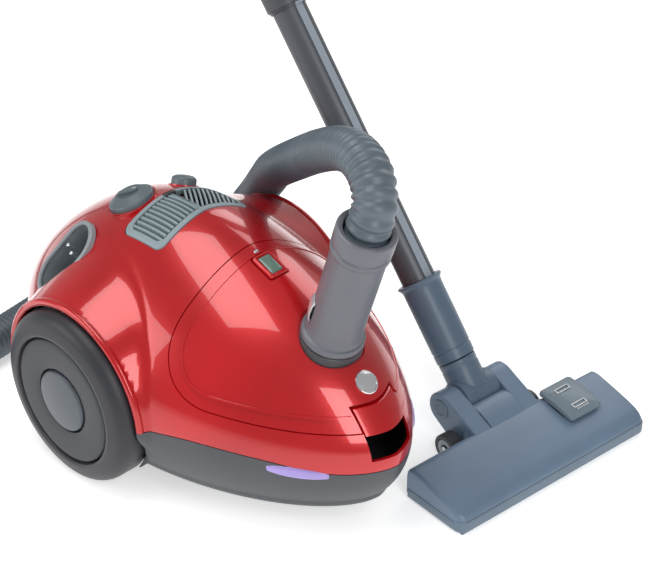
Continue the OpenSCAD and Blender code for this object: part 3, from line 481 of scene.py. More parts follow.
# the lid's raised centre panel, which leaves a flat border 11 mm wide along the joint
raised = shell_of("raised_body", crown_rows(-1.7, 96), crown_rows(1.5, 30), red_look)
panel = bpy.data.objects.new("lid_raised_panel", raised.data.copy())
bpy.context.scene.collection.objects.link(panel)
carve(panel, prism("panel_form", lid_outline(11.5), -300, 300, FLANK), "INTERSECT")
carve(panel, prism("panel_inlet", circle(28.5), -70, 60, INLET))
carve(panel, prism("panel_window", round_box(-14, 14, -11, 11, 3.5), -10, 30, WINDOW))
carve(panel, prism("panel_latch", round_box(150, 300, -24, 24, 3), 90, 129))
settle_normals(panel, raised)
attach(panel, "lid")
bpy.data.objects.remove(raised)

# a fine moulded bead along the panel's edge
beading = shell_of("bead_body", crown_rows(-2.5, 96), crown_rows(0.5, 30), red_look)
bead = bpy.data.objects.new("lid_panel_bead", beading.data.copy())
bpy.context.scene.collection.objects.link(bead)
carve(bead, prism("bead_outer", lid_outline(10.9), -300, 300, FLANK), "INTERSECT")
carve(bead, prism("bead_inner", lid_outline(12.7), -320, 320, FLANK))
carve(bead, prism("bead_inlet", circle(30), -70, 60, INLET))
carve(bead, prism("bead_latch", round_box(150, 300, -25, 25, 3), 90, 130))
settle_normals(bead, beading)
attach(bead, "lid")
bpy.data.objects.remove(beading)

# the grey base pan: a tub with a rounded bottom edge
base_look = finish_of("grained_base_plastic", (0.056, 0.061, 0.068), 0.46, grain=1500, bump=0.00012, spread=0.07)


def pan_rows(inset, floor_z, drop):
    """Rings of the base pan from its rim to the middle of its underside."""
    a = np.linspace(0, 2 * math.pi, COLUMNS, endpoint=False)
    c = np.cos(a)
    x = np.where(c > 0, NOSE * np.abs(c) ** (2 / NOSE_POW), -TAIL * np.abs(c) ** (2 / TAIL_POW))
    rim = seam_height(x)[None, :] - drop
    corner = 9.0
    down = np.linspace(0, 1, 18)[:, None]
    side = egg_rows(rim + (floor_z + corner - rim) * down, inset, True)
    rows = list(side)
    edge = egg_rows(np.full((1, COLUMNS), floor_z + corner), inset, True)[0]
    middle = np.array([10.0, 0.0])
    radius = np.hypot(edge[:, 0] - middle[0], edge[:, 1])
    for bend in np.linspace(0, math.pi / 2, 8)[1:]:
        pull = (radius - corner * (1 - math.cos(bend))) / radius
        rows.append(np.stack([middle[0] + (edge[:, 0] - middle[0]) * pull, edge[:, 1] * pull,
                              np.full(COLUMNS, floor_z + corner - corner * math.sin(bend))], axis=1))
    last = rows[-1]
    for k in (0.8, 0.5, 0.2):
        rows.append(np.stack([middle[0] + (last[:, 0] - middle[0]) * k, last[:, 1] * k, last[:, 2]], axis=1))
    return rows


pan = shell_of("base_pan_tub", pan_rows(0, 29, 0.9), pan_rows(3, 32, 0.9), base_look)
uncut_pan = bpy.data.objects.new("uncut_pan", pan.data.copy())
bpy.context.scene.collection.objects.link(uncut_pan)
for side in (-1, 1):
    well = Matrix.Translation((-37, side * 151, 78)) @ FLANK
    carve(pan, prism("pan_well", circle(81, 160), -50, 50, well))
carve(pan, prism("caster_hole", circle(4.05, 48), 20, 60, Matrix.Translation((108, 0, 0))))
settle_normals(pan, uncut_pan)
bpy.data.objects.remove(uncut_pan)
bpy.data.objects.remove(whole)
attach(pan, "chassis")
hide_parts("base_pan")

# the inner faces of the wheel wells, which close the body behind each wheel
well_look = finish_of("well_plastic", (0.030, 0.030, 0.033), 0.6, grain=1200, bump=0.0001)
for side, name in ((-1, "right"), (1, "left")):
    verts, faces = [], []
    n = 96
    for y, r in ((101, 6.2), (101, 81.0), (104.5, 81.0), (112, 80.9)):
        verts += [at(-37 + r * math.cos(2 * math.pi * k / n), side * y, 78 + r * math.sin(2 * math.pi * k / n))
                  for k in range(n)]
    for j in range(3):
        faces += [(j * n + k, j * n + (k + 1) % n, (j + 1) * n + (k + 1) % n, (j + 1) * n + k) for k in range(n)]
    wall = piece("wheel_well_" + name, verts, faces, well_look, smooth=40)
    cut_low = bmesh.new()
    cut_low.from_mesh(wall.data)
    bmesh.ops.bisect_plane(cut_low, geom=cut_low.verts[:] + cut_low.edges[:] + cut_low.faces[:],
                           plane_co=at(0, 0, 31), plane_no=(0, 0, -1), clear_outer=True)
    cut_low.to_mesh(wall.data)
    cut_low.free()
    thick = wall.modifiers.new("wall", "SOLIDIFY")
    thick.thickness, thick.offset = 0.0012, 0
    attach(wall, "chassis")

# ---------------------------------------------------------------- lid gasket and seam shadow
# A soft rubber lip glued inside the lid's joint, which shows as a thin dark line between the shells.
lip_look = finish_of("gasket_rubber", (0.012, 0.012, 0.013), 0.7, grain=1600, bump=0.0001)
bpy.data.objects["lid_gasket"].data.materials.clear()
bpy.data.objects["lid_gasket"].data.materials.append(lip_look)


def lathe(profile, frame_matrix, n=96):
    """Verts and faces of a turned form; profile is (radius, height) pairs round the frame's Z axis."""
    verts, faces = [], []
    for r, z in profile:
        verts += [at(*(frame_matrix @ Vector((r * math.cos(2 * math.pi * k / n),
                                               r * math.sin(2 * math.pi * k / n), z)))) for k in range(n)]
    for j in range(len(profile) - 1):
        faces += [(j * n + k, j * n + (k + 1) % n, (j + 1) * n + (k + 1) % n, (j + 1) * n + k) for k in range(n)]
    return verts, faces


def turned(name, profile, frame_matrix, look, n=96, smooth=30):
    """A turned solid whose profile runs from axis to axis."""
    verts, faces = lathe([(max(r, 0.001), z) for r, z in profile], frame_matrix, n)
    made = piece(name, verts, faces, look, smooth=None)
    tidy = bmesh.new()
    tidy.from_mesh(made.data)
    bmesh.ops.remove_doubles(tidy, verts=tidy.verts, dist=0.000004)
    bmesh.ops.recalc_face_normals(tidy, faces=tidy.faces)
    tidy.to_mesh(made.data)
    tidy.free()
    made.data.shade_smooth()
    made.data.set_sharp_from_angle(angle=math.radians(smooth))
    return made


def arc_profile(cr, cz, r, a0, a1, n=6):
    """Points of a fillet, in (radius, height), from angle a0 to a1 in degrees."""
    return [(cr + r * math.cos(math.radians(a0 + (a1 - a0) * k / n)),
             cz + r * math.sin(math.radians(a0 + (a1 - a0) * k / n))) for k in range(n + 1)]


# ---------------------------------------------------------------- wheels
# Each rear wheel is a satin rubber tyre with a rounded shoulder, pressed over a moulded disc with a
# shallow ring groove, and a smooth domed cap snapped over the axle's end.


def turned_ring(name, profile, frame_of, look, columns):
    """A turned piece whose profile is a closed loop off the axis, welded where the loop meets."""
    verts, faces = lathe(profile, frame_of, columns)
    made = piece(name, verts, faces, look, smooth=32)
    weld = bmesh.new()
    weld.from_mesh(made.data)
    bmesh.ops.remove_doubles(weld, verts=weld.verts, dist=0.000004)
    bmesh.ops.recalc_face_normals(weld, faces=weld.faces)
    weld.to_mesh(made.data)
    weld.free()
    return made


tyre_look = finish_of("wheel_rubber", (0.030, 0.031, 0.037), 0.42, grain=1300, bump=0.00010, spread=0.08, spec=0.35)
disc_look = finish_of("wheel_disc_plastic", (0.025, 0.027, 0.033), 0.40, grain=1500, bump=0.00008, spread=0.08,
                      spec=0.35)
cap_look = finish_of("hub_cap_plastic", (0.055, 0.068, 0.083), 0.32, grain=1800, bump=0.00004, spread=0.06)
for side, name in ((-1, "right"), (1, "left")):
    hub_frame = Matrix.Translation((-37, side * 106, 78)) @ Matrix.Rotation(math.radians(-90 * side), 4, "X")
    tyre_profile = [(58.0, 1.0), (75.0, 0.0), (77.0, 0.6), (78.0, 2.2), (78.0, 17.0)]
    tyre_profile += arc_profile(65.0, 18.5, 13.0, 0, 82, 12)
    tyre_profile += [(62.0, 32.9), (59.4, 32.9), (58.4, 32.3), (57.6, 30.2), (57.2, 29.0), (57.2, 1.0), (58.0, 1.0)]
    tyre = turned_ring("tyre_ring_" + name, tyre_profile, hub_frame, tyre_look, 128)
    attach(tyre, "wheel_" + name[0])
    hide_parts("tyre_" + name)
    disc_profile = [(6.1, 0.5), (55.0, 0.0), (56.6, 1.2), (57.0, 3.0), (57.0, 27.5), (56.5, 30.2),
                    (55.4, 31.4), (53.5, 31.9), (50.0, 32.0), (38.0, 31.6), (31.0, 31.2), (29.6, 30.8), (28.9, 29.6),
                    (28.7, 27.4), (28.7, 26.2), (6.1, 26.2), (6.1, 0.5)]
    disc = turned_ring("wheel_disc_" + name, disc_profile, hub_frame, disc_look, 128)
    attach(disc, "wheel_" + name[0])
    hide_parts("wheel_" + name)
    dome = [(0, 26.3), (27.2, 26.3)] + [(27.6, 27.0), (27.6, 30.6)] + arc_profile(25.6, 30.6, 2.0, 0, 70, 4)
    dome += [(r, 32.5 + 1.6 * (1 - (r / 26.3) ** 2)) for r in (24, 20, 15, 10, 5, 0)]
    cap = turned("hub_cap_dome_" + name, dome, hub_frame, cap_look, 96)
    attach(cap, "wheel_" + name[0])
    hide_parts("hub_cap_" + name)

# ---------------------------------------------------------------- inlet, coupling and release button
# The hose plugs into a round socket in the lid. The coupling is a straight grey sleeve with a
# moulded collar at its foot, a ribbed mouth round the hose, and a sprung catch on its side.
coupling_look = finish_of("coupling_plastic", (0.122, 0.128, 0.149), 0.36, grain=1700, bump=0.00006, spread=0.06)
sleeve_profile = [(17.2, -26), (21.6, -26), (21.95, -25.4), (21.95, 3.4), (25.6, 3.6), (26.2, 4.4), (26.2, 8.6),
                  (25.6, 9.6), (24.0, 10.4), (23.4, 11.6), (23.1, 14), (22.6, 24), (22.5, 40), (22.5, 96), (22.7, 98),
                  (23.5, 99), (24.2, 100.2), (24.2, 103), (23.6, 104.2), (23.1, 104.8), (23.1, 106), (24.1, 107),
                  (24.3, 108.4), (24.3, 120.6), (23.8, 122.2), (22.6, 123), (20.6, 123), (19.2, 122.2), (18.4, 120),
                  (18.3, 96), (17.2, 92), (17.2, -26)]
sleeve = turned_ring("coupling_sleeve", sleeve_profile, INLET, coupling_look, 96)
RELEASE = INLET @ Matrix.Rotation(math.radians(225), 4, "Z")
carve(sleeve, prism("release_space", round_box(18, 32, -7.2, 7.2, 2.0), 19.6, 41.4, RELEASE))
sleeve.data.shade_smooth()
sleeve.data.set_sharp_from_angle(angle=math.radians(32))
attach(sleeve, "coupling")
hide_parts("hose_coupling")
release_look = finish_of("release_button_paint", (0.55, 0.56, 0.58), 0.28, grain=2000, bump=0.00002, metal=0.6)
verts, faces = [], []
for z, out in ((20.3, 22.0), (21.2, 23.4), (24, 24.4), (30, 24.7), (36.5, 24.2), (39.6, 23.2), (40.6, 22.0)):
    for y in (-6.6, -5.9, -3, 0, 3, 5.9, 6.6):
        drop = 0.9 if abs(y) > 6.2 else 0.2 * (abs(y) / 5.9) ** 2
        verts.append(at(*(RELEASE @ Vector((out - drop, y, z)))))
for j in range(6):
    faces += [(j * 7 + k, j * 7 + k + 1, j * 7 + k + 8, j * 7 + k + 7) for k in range(6)]
release = piece("release_button", verts, faces, release_look, smooth=45)
thick = release.modifiers.new("wall", "SOLIDIFY")
thick.thickness, thick.offset = 0.0014, -1
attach(release, "coupling")
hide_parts("coupling_release")
socket_look = finish_of("socket_plastic", (0.045, 0.046, 0.052), 0.42, grain=1500, bump=0.00008)
socket_profile = [(22.05, -34), (31.6, -34), (31.6, -31.4), (26.9, -31), (26.9, 1.2), (26.6, 2.2), (25.8, 2.9),
                  (23.2, 2.9), (22.3, 2.4), (22.05, 1.4), (22.05, -34)]
socket = turned_ring("inlet_socket_ring", socket_profile, INLET, socket_look, 96)
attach(socket, "lid")
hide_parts("inlet_socket")

# ---------------------------------------------------------------- lid latch, badge and bag window
# The latch is a red flap sprung on a steel pin, the badge a blank domed disc pressed on, and the
# bag window a red housing with a clear lens over a dust gauge.
latch = bpy.data.objects.new("latch_flap", shell_of("latch_blank", crown_rows(-1.6, 96), crown_rows(2.5, 24),
                                                    red_look).data.copy())
bpy.context.scene.collection.objects.link(latch)
latch_source = bpy.data.objects["latch_blank"]
carve(latch, prism("latch_form", round_box(176, 300, -21.5, 21.5, 4.5), 108, 126.4), "INTERSECT")
settle_normals(latch, latch_source)
bpy.data.objects.remove(latch_source)
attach(latch, "latch")
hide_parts("lid_latch")
steel_rod = finish_of("latch_pin_steel", (0.50, 0.51, 0.52), 0.3, grain=1600, bump=0.00002, metal=1.0)
rod = turned("latch_pin_rod", [(0, -8), (1.15, -8), (1.15, 8), (0, 8)],
             Matrix.Translation((190.555, 0, 124)) @ Matrix.Rotation(math.radians(90), 4, "X"), steel_rod, 24)
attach(rod, "lid")
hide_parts("latch_pin")
badge_look = finish_of("badge_metal", (0.78, 0.79, 0.81), 0.16, grain=2400, bump=0.00001, metal=0.9, spread=0.04)
BADGE = stand_on(180.6, 0, 138, level=True)
badge = turned("nose_badge_disc", [(0, 0), (9.6, 0), (10, 0.5), (10, 1.6), (9.5, 2.2), (8.6, 2.4), (8.2, 2.0),
                                   (7.8, 1.9), (7.0, 2.2), (4.5, 2.7), (2, 2.9), (0, 3.0)], BADGE, badge_look, 64)
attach(badge, "lid")
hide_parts("nose_badge")
frame_part = piece("bag_window_frame", *(lambda rows: ([at(*(WINDOW @ Vector(p))) for row in rows for p in row],
    [(j * len(rows[0]) + k, j * len(rows[0]) + (k + 1) % len(rows[0]),
      (j + 1) * len(rows[0]) + (k + 1) % len(rows[0]), (j + 1) * len(rows[0]) + k)
     for j in range(len(rows) - 1) for k in range(len(rows[0]))]
    + [tuple(range(len(rows[0]))), tuple((len(rows) - 1) * len(rows[0]) + k for k in range(len(rows[0])))]))(
    [[(x, y, z) for x, y in round_box(-a, a, -b, b, r)] for a, b, r, z in (
        (12.6, 9.6, 2.8, -8), (12.6, 9.6, 2.8, 1.5), (12.4, 9.4, 2.7, 2.6), (11.8, 8.8, 2.4, 3.3), (10.6, 7.6,
                1.8, 3.5),
        (9.6, 6.6, 1.4, 3.2), (9.1, 6.1, 1.2, 2.2))]), red_look, smooth=40)
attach(frame_part, "lid")
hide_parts("bag_window")
gauge_look = finish_of("window_lens_plastic", (0.10, 0.16, 0.13), 0.12, grain=300, bump=0.00002, spread=0.3)
rows = []
for a, b, r, z in ((9.0, 6.0, 1.2, 2.3), (9.0, 6.0, 1.2, 2.9), (8.4, 5.4, 1.0, 3.5), (6, 3.6, 0.8, 4.0), (2, 1.2,
        0.3, 4.2)):
    rows.append([WINDOW @ Vector((x, y, z)) for x, y in round_box(-a, a, -b, b, r)])
n = len(rows[0])
lens = piece("window_lens_dome", [at(*p) for row in rows for p in row],
             [(j * n + k, j * n + (k + 1) % n, (j + 1) * n + (k + 1) % n, (j + 1) * n + k)
              for j in range(4) for k in range(n)] + [tuple(range(n)), tuple(4 * n + k for k in range(n))],
             gauge_look, smooth=40)
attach(lens, "lid")
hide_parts("window_lens")
stud = turned("window_stud", [(0, 0), (2.6, 0), (2.6, 0.8), (2.0, 1.5), (1.0, 1.8), (0, 1.9)],
              stand_on(57, 0, 204.4), badge_look, 32)
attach(stud, "lid")

# ---------------------------------------------------------------- side lenses
# A violet tinted strip is clipped into each flank of the nose, low on the joint with the base pan.
lens_look = finish_of("violet_lens", (0.36, 0.27, 0.66), 0.10, grain=400, bump=0.00002, spread=0.18, coat=0.6)
for side, name in ((-1, "right"), (1, "left")):
    verts, faces = [], []
    top = []
    for j, u in enumerate(np.linspace(0, 1, 25)):
        x = 148 + 40 * u
        mid = 78.5 - 3.4 * u
        half = 5.6 * math.sin(math.pi * min(1, max(0, 0.06 + 0.88 * u))) ** 0.45
        for k, v in enumerate(np.linspace(-1, 1, 9)):
            z = mid + half * v
            lo, hi = 0.0, 124.0
            for _ in range(24):
                m = (lo + hi) / 2
                t = (WAIST - z) / (WAIST - UNDER)
                size = 1 - 0.17 * max(0, t) ** 2.2
                inside = ((x + 0.17 * (z - WAIST)) / (NOSE * size)) ** NOSE_POW + (m / (HALF * size)) ** NOSE_POW < 1
                lo, hi = (m, hi) if inside else (lo, m)
            swell = 1.7 * (1 - v ** 4) * math.sin(math.pi * (0.02 + 0.96 * u)) ** 0.3
            nrm = body_normal(x, lo, z)
            p = Vector((x, lo, z)) + nrm * (swell - 0.3)
            verts.append(at(p.x, side * p.y, p.z))
    for j in range(24):
        faces += [(j * 9 + k, j * 9 + k + 1, j * 9 + k + 10, j * 9 + k + 9) for k in range(8)]
    strip = piece("side_lens_" + name, verts, faces, lens_look, smooth=60)
    thick = strip.modifiers.new("wall", "SOLIDIFY")
    thick.thickness, thick.offset = 0.0012, 1 if side > 0 else -1
    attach(strip, "chassis")
    if side < 0:
        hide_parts("side_lenses")

# ---------------------------------------------------------------- exhaust grille
# A moulded frame over the motor's outlet, hinged at its front edge. Its slats run along the body on
# one half and slant on the other, so that they meet in a V; a pleated filter lies underneath.
grille_look = finish_of("grille_plastic", (0.240, 0.300, 0.325), 0.40, grain=1500, bump=0.00006, spread=0.06)


def nodes_for(name, inputs):
    """An empty Geometry Nodes tree with named inputs and one geometry output."""
    tree = bpy.data.node_groups.new(name, "GeometryNodeTree")
    tree.interface.new_socket("Geometry", in_out="OUTPUT", socket_type="NodeSocketGeometry")
    keys = {}
    for label, kind, value in inputs:
        socket = tree.interface.new_socket(label, in_out="INPUT", socket_type=kind)
        if value is not None:
            socket.default_value = value
        keys[label] = socket.identifier
    return tree, keys


def baked(name, tree, settings, looks=()):
    """Runs a Geometry Nodes tree and keeps its result as a plain mesh at the origin."""
    holder = bpy.data.objects.new(name, bpy.data.meshes.new(name + "_seed"))
    bpy.context.scene.collection.objects.link(holder)
    step = holder.modifiers.new("build", "NODES")
    step.node_group = tree
    for key, value in settings.items():
        step[key] = value
    result = bpy.data.meshes.new_from_object(holder.evaluated_get(bpy.context.evaluated_depsgraph_get()))
    holder.modifiers.clear()
    holder.data = result
    result.name = name
    return holder


def roof_height(x, y):
    """Height of the plain body's roof over a place."""
    lo, hi = WAIST, ROOF
    for _ in range(22):
        z = (lo + hi) / 2
        size = max(0.001, (1 - ((z - WAIST) / (ROOF - WAIST)) ** CROWN) ** (1 / CROWN))
        px = x + 0.17 * (z - WAIST)
        n = NOSE_POW if px > 0 else TAIL_POW
        inside = (abs(px) / ((NOSE if px > 0 else TAIL) * size)) ** n + (abs(y) / (HALF * size)) ** n < 1
        lo, hi = (z, hi) if inside else (lo, z)
    return lo


def roof_slab(name, outline, low, high, look, hole=None):
    """A plate that follows the roof: the outline from above, between two depths along the height."""
    rings = []
    loops = [(outline, low), (outline, high)] if hole is None else [(outline, low), (outline, high - 0.7),
             ([(x * 0.992 + GMX * 0.008, y * 0.992) for x, y in outline], high), (hole, high), (hole, low)]
    for loop, lift in loops:
        rings.append([at(x, y, roof_height(x, y) + lift) for x, y in loop])
    n = len(outline)
    verts = [v for ring in rings for v in ring]
    faces = [(j * n + k, j * n + (k + 1) % n, (j + 1) * n + (k + 1) % n, (j + 1) * n + k)
             for j in range(len(rings) - 1) for k in range(n)]
    if hole is not None:
        faces += [((len(rings) - 1) * n + k, (len(rings) - 1) * n + (k + 1) % n, (k + 1) % n, k) for k in range(n)]
    return piece(name, verts, faces, look, smooth=40)


GMX = (GRILLE[0] + GRILLE[1]) / 2


def fine_box(x0, x1, y0, y1, r):
    """A rounded rectangle with many points on its sides, so that a plate bends with the roof."""
    out = round_box(x0, x1, y0, y1, r, 6)
    full = []
    for i, a in enumerate(out):
        b = out[(i + 1) % len(out)]
        steps = max(1, int(math.dist(a, b) / 3.5))
        full += [(a[0] + (b[0] - a[0]) * k / steps, a[1] + (b[1] - a[1]) * k / steps) for k in range(steps)]
    return full


outer = fine_box(GRILLE[0] + 0.7, GRILLE[1] - 0.7, GRILLE[2] + 0.7, GRILLE[3] - 0.7, 7.4)
inner = [(GMX + (x - GMX) * 0.80, y * 0.905) for x, y in outer]
rim = roof_slab("grille_frame", outer, -3.6, 0.9, grille_look, inner)
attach(rim, "grille")
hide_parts("exhaust_grille")

tree, keys = nodes_for("slat_row", [
    ("Slats", "NodeSocketInt", 11), ("Pitch", "NodeSocketFloat", 0.004), ("Length", "NodeSocketFloat", 0.03),
    ("Thickness", "NodeSocketFloat", 0.0017), ("Depth", "NodeSocketFloat", 0.0042), ("Slant", "NodeSocketFloat", 0.0),
    ("Finish", "NodeSocketMaterial", None)])
nodes, links = tree.nodes, tree.links
given = nodes.new("NodeGroupInput")
row = nodes.new("GeometryNodeMeshLine")
slat = nodes.new("GeometryNodeMeshCube")
size = nodes.new("ShaderNodeCombineXYZ")
step = nodes.new("ShaderNodeCombineXYZ")
spin = nodes.new("ShaderNodeCombineXYZ")
spread = nodes.new("GeometryNodeInstanceOnPoints")
real = nodes.new("GeometryNodeRealizeInstances")
paint = nodes.new("GeometryNodeSetMaterial")
out = nodes.new("NodeGroupOutput")
links.new(given.outputs["Slats"], row.inputs["Count"])
links.new(given.outputs["Pitch"], step.inputs["Y"])
links.new(step.outputs["Vector"], row.inputs["Offset"])
for label, axis in (("Length", "X"), ("Thickness", "Y"), ("Depth", "Z")):
    links.new(given.outputs[label], size.inputs[axis])
links.new(size.outputs["Vector"], slat.inputs["Size"])
slat.inputs["Vertices X"].default_value = 9
links.new(given.outputs["Slant"], spin.inputs["Z"])
links.new(row.outputs["Mesh"], spread.inputs["Points"])
links.new(slat.outputs["Mesh"], spread.inputs["Instance"])
links.new(spin.outputs["Vector"], spread.inputs["Rotation"])
links.new(spread.outputs["Instances"], real.inputs["Geometry"])
links.new(real.outputs["Geometry"], paint.inputs["Geometry"])
links.new(given.outputs["Finish"], paint.inputs["Material"])
links.new(paint.outputs["Geometry"], out.inputs["Geometry"])
for half, slant, count in (("near", 0.0, 10), ("far", -0.62, 11)):
    slats = baked("grille_slats_" + half, tree, {keys["Slats"]: count,
                                                 keys["Pitch"]: 0.0043 if half == "near" else 0.0049,
                                                 keys["Length"]: 0.036 if half == "near" else 0.044,
                                                 keys["Thickness"]: 0.0018, keys["Depth"]: 0.0040,
                                                 keys["Slant"]: slant, keys["Finish"]: grille_look})
    start = (-42.5 + 0.5) if half == "near" else 1.5
    shape = bmesh.new()
    shape.from_mesh(slats.data)
    for v in shape.verts:
        x, y, z = GMX + v.co.x * 1000, start + v.co.y * 1000, v.co.z * 1000
        v.co = Vector((x, y, z))
    x0, x1 = GRILLE[0] + 4.4, GRILLE[1] - 4.4
    y0, y1 = (-46.5, 0.2) if half == "near" else (0.2, 46.5)
    for co, no in (((x0, 0, 0), (-1, 0, 0)), ((x1, 0, 0), (1, 0, 0)), ((0, y0, 0), (0, -1, 0)), ((0, y1, 0), (0,
            1, 0))):
        cut = bmesh.ops.bisect_plane(shape, geom=shape.verts[:] + shape.edges[:] + shape.faces[:],
                                     plane_co=co, plane_no=no, clear_outer=True)
        edges = [e for e in cut["geom_cut"] if isinstance(e, bmesh.types.BMEdge)]
        bmesh.ops.holes_fill(shape, edges=edges, sides=0)
    for v in shape.verts:
        v.co = at(v.co.x, v.co.y, roof_height(v.co.x, v.co.y) - 1.5 + v.co.z)
    bmesh.ops.recalc_face_normals(shape, faces=shape.faces)
    shape.to_mesh(slats.data)
    shape.free()
    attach(slats, "grille")
spine = roof_slab("grille_spine", fine_box(GRILLE[0] + 3.6, GRILLE[1] - 3.6, -1.1, 1.5, 0.6), -3.4, 0.55, grille_look)
clip_look = finish_of("grille_clip_plastic", (0.020, 0.021, 0.023), 0.4, grain=1500, bump=0.00005)
clip = roof_slab("grille_clip", fine_box(GRILLE[0] + 1.0, GRILLE[0] + 6.4, -6, 6, 1.6), -2.0, 1.7, clip_look)
for part in (spine, clip):
    mesh = bmesh.new()
    mesh.from_mesh(part.data)
    rims = [e for e in mesh.edges if e.is_boundary]
    bmesh.ops.holes_fill(mesh, edges=rims, sides=0)
    bmesh.ops.recalc_face_normals(mesh, faces=mesh.faces)
    mesh.to_mesh(part.data)
    mesh.free()
    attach(part, "grille")
felt_look = finish_of("filter_felt", (0.030, 0.031, 0.034), 0.9, grain=700, bump=0.0004, spread=0.25)

# ---------------------------------------------------------------- power dial and cord rewind button
# The dial is a fluted knob with a sloping skirt and a raised bar; the button is a plain domed cap on
# a sprung stem. Both are grey plastic set in round wells in the roof.
knob_look = finish_of("knob_plastic", (0.100, 0.130, 0.145), 0.38, grain=1700, bump=0.00005, spread=0.07)
ON_DIAL = stand_on(*DIAL)
dial = turned("power_dial_knob", [(0, -3), (19.6, -3), (20, -2.4), (20, 3.4), (19.4, 4.2), (18.2, 4.6), (12.6,
        8.4), (11.4, 8.8),
                                  (10.2, 8.7), (9.4, 8.2), (4, 7.6), (0, 7.5)], ON_DIAL, knob_look, 96)
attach(dial, "dial")
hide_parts("power_dial")
bar = prism("dial_bar", round_box(-9.2, 9.2, -2.4, 2.4, 2.0), 6.5, 11.0, ON_DIAL @ Matrix.Rotation(0.6, 4, "Z"))
bar.data.materials.append(knob_look)
soft = bar.modifiers.new("edge", "BEVEL")
soft.width, soft.segments = 0.0007, 3
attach(bar, "dial")
mark_look = finish_of("dial_mark_paint", (0.55, 0.57, 0.58), 0.5, grain=1500, bump=0.00002)
mark = prism("dial_mark", round_box(4.5, 8.4, -0.6, 0.6, 0.5), 10.6, 11.15, ON_DIAL @ Matrix.Rotation(0.6, 4, "Z"))
mark.data.materials.append(mark_look)
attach(mark, "dial")
ON_BUTTON = stand_on(*BUTTON)
button = turned("rewind_button_cap", [(0, -0.9), (9.2, -0.9), (9.4, -3), (10.6, -3), (11, -2.5), (11, 4.6), (10.6,
        5.8), (9.6, 6.8), (8.2, 7.6), (6, 8.2),
                                      (3, 8.5), (0, 8.6)], ON_BUTTON, knob_look, 64)
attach(button, "rewind")
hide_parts("rewind_button")
for name, spot, r, deep in (("dial_well", ON_DIAL, 20.5, 6), ("button_well", ON_BUTTON, 11.5, 8)):
    ring = turned(name, [(0, -deep), (r, -deep), (r, 0.2), (r + 1.5, 0.25), (r + 1.6, -0.6),
                         (r + 0.9, -deep - 1), (0, -deep - 1)], spot, red_look, 96)
    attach(ring, "chassis")

# ---------------------------------------------------------------- cord recess and mains plug
# A stadium-shaped grey cup let into the rear flank, with a light rim. The black moulded plug on the
# end of the rewinding cord parks in it with its two bright pins outwards.
recess_look = finish_of("recess_plastic", (0.215, 0.245, 0.265), 0.42, grain=1500, bump=0.00006, spread=0.07)
rim_look = finish_of("recess_rim_plastic", (0.24, 0.27, 0.29), 0.35, grain=1700, bump=0.00004, spread=0.05)
IN_RECESS = stand_on(*RECESS, turn=62)


def stadium_loop(r, n=28):
    loop = [(15 + r * math.cos(a), r * math.sin(a)) for a in np.linspace(-math.pi / 2, math.pi / 2, n)]
    return loop + [(-x, -y) for x, y in loop]


def stadium_part(name, rows, look, close=False):
    verts = [at(*(IN_RECESS @ Vector((x, y, z)))) for r, z in rows for x, y in stadium_loop(max(r, 0.05))]
    n = len(stadium_loop(1))
    faces = [(j * n + k, j * n + (k + 1) % n, (j + 1) * n + (k + 1) % n, (j + 1) * n + k)
             for j in range(len(rows) - 1) for k in range(n)]
    if close:
        faces += [tuple(range(n)), tuple((len(rows) - 1) * n + k for k in range(n))]
    return piece(name, verts, faces, look, smooth=40)


cup = stadium_part("cord_recess_cup", [(19.7, -1.0), (19.7, -40), (8, -40), (8, -38.2), (14.0, -38.0), (16.6,
        -37), (17.6, -34.6),
                                       (17.8, -30), (18.0, -1.0), (18.0, 0.8), (19.7, 0.8), (19.7,
                                               -1.0)], recess_look)
floor_part = prism("cord_recess_floor", stadium_loop(9), -39.4, -38.4, IN_RECESS)
floor_part.data.materials.append(recess_look)
lip = stadium_part("cord_recess_lip", [(18.0, -2.0), (18.0, 1.2), (18.6, 2.3), (19.8, 2.6), (21.4, 2.4), (22.2,
        1.6), (22.2, -2.6),
                                       (20.2, -3.0), (18.0, -2.0)], rim_look)
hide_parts("cord_recess")
for part in (cup, floor_part, lip):
    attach(part, "chassis")
plug_look = finish_of("plug_rubber", (0.012, 0.012, 0.013), 0.48, grain=1400, bump=0.0001, spread=0.2)
PLUG = IN_RECESS @ Matrix.Translation((9, 0, -37))
plug = turned("mains_plug_body", [(0, -16), (3.4, -16), (3.4, -2), (4.2, 0), (6.2, 2), (7.6, 5), (8.4, 9), (8.5,
        14), (8.5, 20.6),
                                  (7.9, 21.7), (6.8, 22), (0, 22)], PLUG, plug_look, 48)
wings = prism("mains_plug_face", round_box(-4.9, 4.9, -10.9, 10.9, 4.6), 14.5, 22.0, PLUG)
wings.data.materials.append(plug_look)
soft = wings.modifiers.new("edge", "BEVEL")
soft.width, soft.segments = 0.0008, 3
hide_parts("mains_plug")
for part in (plug, wings):
    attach(part, "plug")
chrome_look = finish_of("pin_metal", (0.80, 0.80, 0.81), 0.14, grain=1800, bump=0.00001, metal=1.0, spread=0.04)
for s in (-1, 1):
    prong = turned("plug_pin_" + ("a" if s < 0 else "b"),
                   [(0, 12), (2, 12), (2, 39.4), (1.7, 40.4), (0.9, 41), (0, 41)],
                   PLUG @ Matrix.Translation((0, s * 6.35, 0)), chrome_look, 24)
    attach(prong, "plug")
    if s < 0:
        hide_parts("plug_pins")

